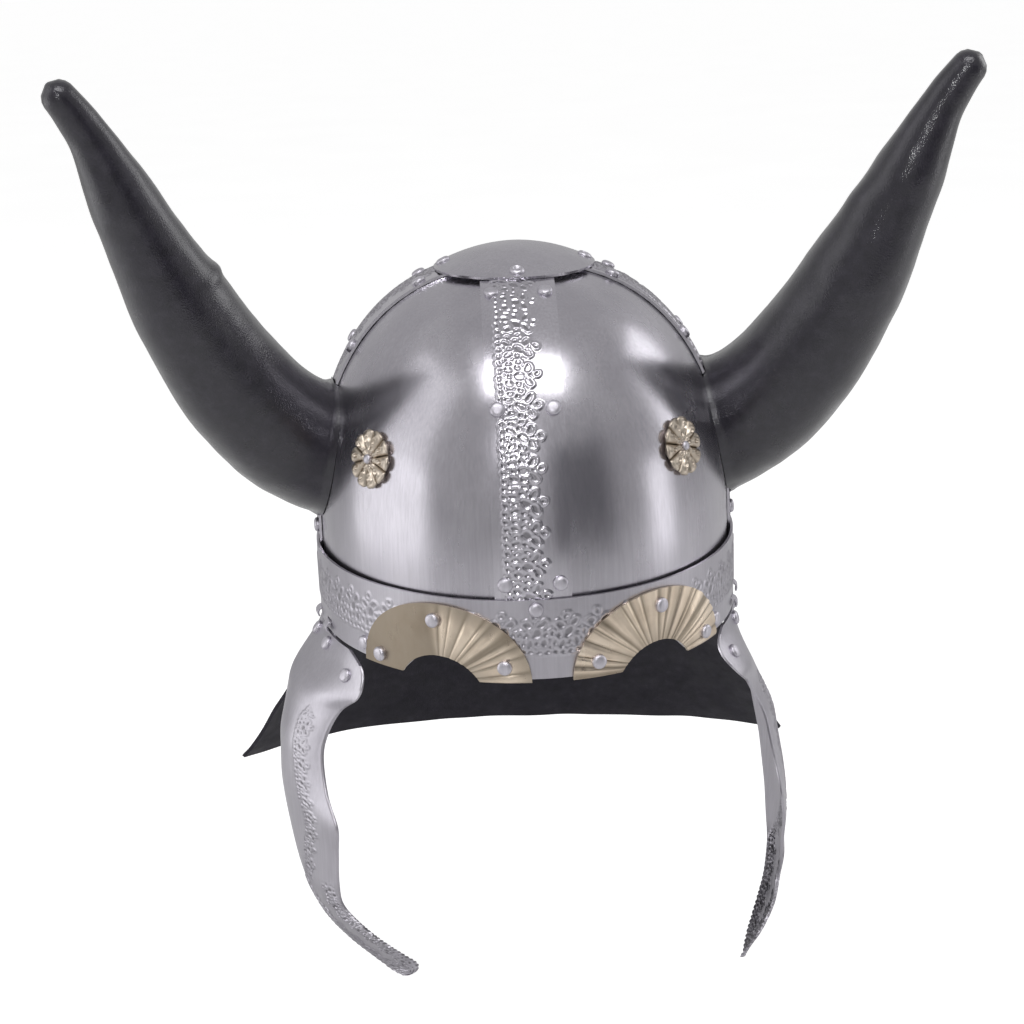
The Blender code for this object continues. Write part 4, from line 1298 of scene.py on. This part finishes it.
def through(values, at):
    """A smooth curve through evenly spaced values."""
    i = min(len(values) - 2, int(at))
    t = at - i
    before, low, high, after = (values[max(0, min(len(values) - 1, i + k))] for k in (-1, 0, 1, 2))
    slope_low, slope_high = (high - before) / 2, (after - low) / 2
    return (
        (2 * t**3 - 3 * t**2 + 1) * low
        + (t**3 - 2 * t**2 + t) * slope_low
        + (3 * t**2 - 2 * t**3) * high
        + (t**3 - t**2) * slope_high
    )


GUARD_EDGES = {key: [getattr(section, key) for section in GUARD_SECTIONS] for key in Section._fields}


def guard_edges(at, side):
    """The rear and front ends of the guard's line at a place along its sections, rounded at the tip."""
    rear = Vector((through(GUARD_EDGES["rear_along"], at), through(GUARD_EDGES["rear_down"], at)))
    front = Vector((through(GUARD_EDGES["front_along"], at), through(GUARD_EDGES["front_down"], at)))
    last = len(GUARD_SECTIONS) - 1
    near_tip = float(smooth((at - GUARD_TIP_START) / (last - GUARD_TIP_START)))
    widen = 1 + (GUARD_TIP_WIDTHS[side] - 1) * near_tip
    middle = (rear + front) / 2
    rear, front = middle.lerp(rear, widen), middle.lerp(front, widen)
    rear.y += GUARD_BENDS[side].split * near_tip
    front.y -= GUARD_BENDS[side].split * near_tip
    left = (at - last + GUARD_ROUND_TIP) / GUARD_ROUND_TIP
    width = math.sqrt(max(0.02, 1 - max(0.0, left) ** 2.2))
    middle = (rear + front) / 2
    return middle.lerp(rear, width), middle.lerp(front, width), width


def in_metres(shares):
    """A point or step on the flat guard, from shares of its reach and length."""
    return Vector((shares.x * GUARD_REACH, shares.y * GUARD_LENGTH, 0))


def guard_lace(down, run, width, share):
    """The relief and tone of one line across a guard: a strip of lace above, and lace from both
    edges to the middle below. run is the way down to the line and width its length, in metres."""
    middle = table_value(GUARD_STRIP, "down", "middle", down)
    half = table_value(GUARD_STRIP, "down", "half", down)
    from_edge = np.minimum(share, 1 - share) * width
    along = np.full(share.shape, run)
    ridges, tone = lace(GUARD_LACE_START + (share - middle + half) * width, along, GUARD_LACE_SIZE)
    full_ridges, full_tone = lace(GUARD_LACE_START + from_edge, along, GUARD_LACE_SIZE)
    full = float(smooth((down - GUARD_LACE_SPREADS) / GUARD_LACE_SPREAD_LENGTH))
    ridges = ridges + (full_ridges - ridges) * full
    tone = tone + (full_tone - tone) * full
    inside = smooth((half - np.abs(share - middle)) * width / GUARD_LACE_FADE)
    depth = LACE_RELIEF * (GUARD_LACE_RELIEF + GUARD_LACE_DEEPER * full)
    hem = smooth((GUARD_HEM_WIDTH - from_edge) / GUARD_LACE_FADE) * GUARD_HEM_HEIGHT
    return ridges * inside * depth + hem, 0.5 + (tone - 0.5) * inside - GUARD_LACE_DARKER * full


def cheek_guard(side):
    name = "cheek_guard_" + side
    last = len(GUARD_SECTIONS) - 1
    places_down = [last * i / GUARD_ROWS for i in range(GUARD_ROWS + 1)]
    shares = even_shares(GUARD_COLUMNS)
    edges = {at: guard_edges(at, side) for at in places_down}

    def place(share, at, lift):
        rear, front, width = edges[at]
        spot = rear.lerp(front, share)
        across = 0.5 + (share - 0.5) * width
        return guard_point(side, spot.x * GUARD_REACH, spot.y * GUARD_LENGTH, across, lift)

    lines = []
    run, last_middle = 0.0, None
    for at in places_down:
        rear, front, _ = edges[at]
        middle = in_metres((rear + front) / 2)
        run += (middle - last_middle).length if last_middle else 0.0
        last_middle = middle
        width = in_metres(front - rear).length
        lines.append(guard_lace((rear.y + front.y) / 2, run, width, np.array(shares)))
    relief, tones = (np.array(part) for part in zip(*lines))
    marks, row_marks = every(GUARD_COLUMNS, 1), every(GUARD_ROWS, 1)
    bm = relief_sheet(
        place, shares, places_down, relief, marks, row_marks, SHEET, tone=tones, through=1.0
    )
    body = "guard_" + side
    add_piece(name + "_sheet", bm, "guard", body, RELIEF_SHARP, name)
    sheet_middle, sheet_forward = rim_line(SIDES[side], GUARD_HANGS[side].sheet_turn)
    places = []
    for tag, centre in zip(LOOP_TAGS, hinge_centres(side)):
        hinge_strap(f"hinge_loop_{side}_{tag}", side, centre)
        along = (centre - sheet_middle).dot(sheet_forward)
        places.append(rivet_on_guard(side, along, LOOP_RIVET_DOWN))
    places.append(rivet_on_guard(side, LOBE_RIVET_ALONG, LOBE_RIVET_DOWN))
    rivet_set("rivets_" + name, places, body)


def guard_across(along, down):
    """How far across the guard a point lies, from 0 at the rear edge to 1 at the front."""
    share = down / GUARD_LENGTH
    for low, high in zip(GUARD_SECTIONS, GUARD_SECTIONS[1:]):
        if share <= (high.rear_down + high.front_down) / 2:
            break
    rear = (low.rear_along + high.rear_along) / 2 * GUARD_REACH
    front = (low.front_along + high.front_along) / 2 * GUARD_REACH
    return min(1.0, max(0.0, (along - rear) / (front - rear)))


def rivet_on_guard(side, along, down):
    point = guard_point(side, along, down, guard_across(along, down))
    ahead = guard_point(side, along + PROBE, down, guard_across(along + PROBE, down))
    below = guard_point(side, along, down + PROBE, guard_across(along, down + PROBE))
    normal = (ahead - point).cross(below - point).normalized()
    return point, normal if normal.x * SIDES[side] > 0 else -normal


def hinge_strap(name, side, centre):
    """A strip of steel bent into a ring round the hinge line, its tail behind the guard."""
    _, forward = rim_line(SIDES[side], GUARD_HANGS[side].hinge_turn)
    outward = UP.cross(forward) * SIDES[side]
    tail_out = -SHEET / 2 - LOOP_SHEET * 0.62
    start = math.acos(tail_out / LOOP_MIDDLE)
    path = [Vector((tail_out, -HINGE_HEIGHT - LOOP_TAIL * (1 - i / 5))) for i in range(5)]
    steps = 30
    sweep = 2 * math.pi - 2.0 * (start - math.pi / 2) - 0.55
    for i in range(steps + 1):
        angle = 2 * math.pi - start - sweep * i / steps
        path.append(Vector((math.cos(angle), math.sin(angle))) * LOOP_MIDDLE)
    bm = bmesh.new()
    loops = []
    for i, spot in enumerate(path):
        ahead = path[min(i + 1, len(path) - 1)] - path[max(i - 1, 0)]
        side_way = Vector((ahead.y, -ahead.x)).normalized() * LOOP_SHEET / 2
        line = []
        for sheet_side, width_side in ((-1, -1), (1, -1), (1, 1), (-1, 1)):
            flat = spot + side_way * sheet_side
            place = centre + outward * flat.x + UP * flat.y + forward * width_side * LOOP_WIDTH / 2
            line.append(bm.verts.new(place))
        loops.append(line)
    skin(bm, loops)
    piece = add_piece(name, bm, "rivet", "guard_" + side, PLAIN_SHARP)
    bevel = piece.modifiers.new("soft_edges", "BEVEL")
    bevel.width = 0.0002
    bevel.segments = 2


# Neck guard
def neck_turn(share):
    return NECK_START_TURN + (360 - 2 * NECK_START_TURN) * share


def neck_hem(share):
    angle = NECK_SWEEP * (1 - 2 * share)
    corner_share = math.sin(angle) / math.sin(NECK_SWEEP)
    sag = NECK_SAG * hill(share, NECK_SAG_MIDDLE, NECK_SAG_WIDTH)
    fall = ((1 - math.cos(angle)) / (1 - math.cos(NECK_SWEEP))) ** NECK_SQUARENESS
    return Vector(
        (
            NECK_CORNER_OUT * corner_share,
            NECK_REACH - (NECK_REACH - NECK_CORNER_BACK) * fall,
            -NECK_DROP - NECK_DIP * (1 - fall) + NECK_TILT * corner_share - sag,
        )
    )


def neck_guard():
    shares = even_shares(NECK_COLUMNS)
    drops = [-1.0, -0.5] + even_shares(NECK_ROWS)
    stand_off = BROW_INNER - GAP

    def place(share, drop, lift):
        turn = neck_turn(share)
        if drop < 0:
            return ring_point(turn, NECK_BEND - (NECK_TOP - NECK_BEND) * drop, stand_off + lift)
        top = ring_point(turn, NECK_BEND, stand_off)
        hem = neck_hem(share)
        point = top.lerp(hem, drop)
        out = (ring_normal(turn) * 0.8 + UP * 0.6).normalized()
        ease = float(smooth(drop / NECK_WAVE_START))
        wave = NECK_WAVE * (noise.noise(point * 17) + 0.4 * noise.noise(point * 48))
        wave += NECK_HEM_ROLL * hill(drop, 1, NECK_HEM_LENGTH)
        point.x += NECK_SIDE_HOLLOW * math.sin(math.pi * drop) * hill(share, 1, NECK_SIDE_WIDTH)
        return point + out * (wave * ease + lift)

    relief = np.zeros((len(drops), len(shares)))
    marks, row_marks = every(NECK_COLUMNS, 1), every(len(drops) - 1, 1)
    bm = relief_sheet(place, shares, drops, relief, marks, row_marks, NECK_SHEET)
    add_piece("neck_guard_leather", bm, "neck", "shell", PLAIN_SHARP, "neck_guard")


# Stage
FLOOR_HEIGHT = -0.30
FLOOR_RADIUS = 40


def floor():
    place = (0, 0, FLOOR_HEIGHT)
    bpy.ops.mesh.primitive_circle_add(vertices=96, radius=FLOOR_RADIUS, fill_type="NGON", location=place)
    ground = bpy.context.object
    ground.name = "floor"
    ground.data.materials.append(floor_material())


Light = namedtuple("Light", "name place aim size power")
LIGHTS = (
    Light("front_softbox", (-0.04, -0.85, 1.62), (0, 0, 0.10), (1.4, 0.62), 11),
    Light("front_lamp", (-0.28, -1.30, 0.66), (0, 0, 0.10), (0.12, 0.12), 2.4),
    Light("left_softbox", (-1.7, -0.2, 0.9), (0, 0, 0.05), (1.2, 1.6), 4.0),
    Light("right_softbox", (1.7, 0.45, 0.80), (0, 0, 0.10), (1.0, 1.1), 5.5),
    Light("left_bounce", (-1.30, -0.05, -0.10), (0, 0, 0.0), (1.2, 0.7), 2.6),
    Light("right_bounce", (1.30, -0.30, -0.10), (0, 0, 0.0), (0.4, 0.6), 0.9),
)


def area_light(name, place, aim, size, power):
    light = bpy.data.lights.new(name, "AREA")
    light.shape = "RECTANGLE"
    light.size, light.size_y = size
    light.energy = power
    lamp = bpy.data.objects.new(name, light)
    lamp.location = place
    lamp.rotation_euler = (Vector(aim) - Vector(place)).to_track_quat("-Z", "Y").to_euler()
    bpy.context.scene.collection.objects.link(lamp)


# The dark card's place, turn and size
CARD_PLACE = (0.80, -1.50, 0.22)
CARD_TURN = math.radians(28)
CARD_SIZE = (1.15, 1.15)


def dark_card():
    """The dark side of the room that bright steel mirrors, unseen by the camera itself."""
    bpy.ops.mesh.primitive_plane_add(size=1, location=CARD_PLACE, rotation=(math.pi / 2, 0, CARD_TURN))
    card = bpy.context.object
    card.name = "dark_card"
    card.scale = (*CARD_SIZE, 1)
    card.visible_camera = False
    card.visible_shadow = False
    made, tree, surface = new_material("dark_cloth")
    weave = stretched_noise(tree, (1, 1, 1), 40)
    colour = ramp(tree, weave, ((0.3, (0.17, 0.17, 0.18)), (0.7, (0.21, 0.21, 0.22))))
    tree.links.new(colour, surface.inputs["Base Color"])
    surface.inputs["Roughness"].default_value = 0.95
    card.data.materials.append(made)


def studio():
    for light in LIGHTS:
        area_light(*light)


def world():
    """A pale room with a darker side behind the camera, and white where the camera looks."""
    room = bpy.data.worlds.new("room")
    bpy.context.scene.world = room
    room.use_nodes = True
    tree = room.node_tree
    tree.nodes.clear()
    place = add_node(tree, "ShaderNodeTexCoord")
    split = add_node(tree, "ShaderNodeSeparateXYZ")
    tree.links.new(place.outputs["Generated"], split.inputs["Vector"])
    front = spread(tree, split.outputs["Y"], 0.46, 0.56, -0.7, 0.6)
    shade = ramp(tree, front, ((0.0, (0.0, 0.0, 0.0)), (1.0, (1.0, 1.0, 1.0))))
    dim = add_node(tree, "ShaderNodeBackground", Strength=0.95)
    tree.links.new(shade, dim.inputs["Color"])
    white = add_node(tree, "ShaderNodeBackground", Color=(1, 1, 1, 1), Strength=1.05)
    path = add_node(tree, "ShaderNodeLightPath")
    mix = add_node(tree, "ShaderNodeMixShader")
    out = add_node(tree, "ShaderNodeOutputWorld")
    tree.links.new(path.outputs["Is Camera Ray"], mix.inputs["Fac"])
    tree.links.new(dim.outputs["Background"], mix.inputs[1])
    tree.links.new(white.outputs["Background"], mix.inputs[2])
    tree.links.new(mix.outputs["Shader"], out.inputs["Surface"])


# The camera, fitted to the photograph
CAMERA_AZIMUTH = math.radians(5.0)
CAMERA_RISE = math.radians(16.78)
CAMERA_ROLL = math.radians(2.17)
CAMERA_REACH = 0.95
CAMERA_AIM = Vector((0, 0, 0.0437))
IMAGE_WIDTH = 1024
FOCAL_PIXELS = 1863
SHIFT_PIXELS = -11.45
SENSOR = 36.0


def camera():
    """The photograph's view: from the front, a little to the left and above."""
    back = Vector(
        (
            -math.sin(CAMERA_AZIMUTH) * math.cos(CAMERA_RISE),
            -math.cos(CAMERA_AZIMUTH) * math.cos(CAMERA_RISE),
            math.sin(CAMERA_RISE),
        )
    )
    right = (-back).cross(UP).normalized()
    up = right.cross(-back)
    cos, sin = math.cos(CAMERA_ROLL), math.sin(CAMERA_ROLL)
    turned = Matrix((cos * right - sin * up, sin * right + cos * up, back)).transposed()
    lens = bpy.data.cameras.new("camera")
    lens.sensor_width = SENSOR
    lens.lens = FOCAL_PIXELS / IMAGE_WIDTH * SENSOR
    lens.shift_x = SHIFT_PIXELS / IMAGE_WIDTH
    view = bpy.data.objects.new("camera", lens)
    view.matrix_world = Matrix.Translation(CAMERA_AIM + CAMERA_REACH * back) @ turned.to_4x4()
    bpy.context.scene.collection.objects.link(view)
    bpy.context.scene.camera = view


def dress_helmet():
    for quarter, name in enumerate(("front_right", "back_right", "back_left", "front_left")):
        skull_plate("skull_plate_" + name, quarter)
    cross_band("cross_band_front", 0, FRONT_RIVET_SHARES, FINE_STEP)
    cross_band("cross_band_right", 1, SIDE_RIVET_SHARES, WIDE_STEP)
    cross_band("cross_band_back", 2, FRONT_RIVET_SHARES, WIDE_STEP)
    cross_band("cross_band_left", 3, SIDE_RIVET_SHARES, WIDE_STEP)
    crown_cap()
    brow_band()
    for side in SIDES:
        brow_plate(side)
        rosette(side)
        horn(side)
        cheek_guard(side)
    neck_guard()


camera()
dress_helmet()
floor()
dark_card()
studio()
world()
bpy.context.scene.view_settings.view_transform = "Standard"
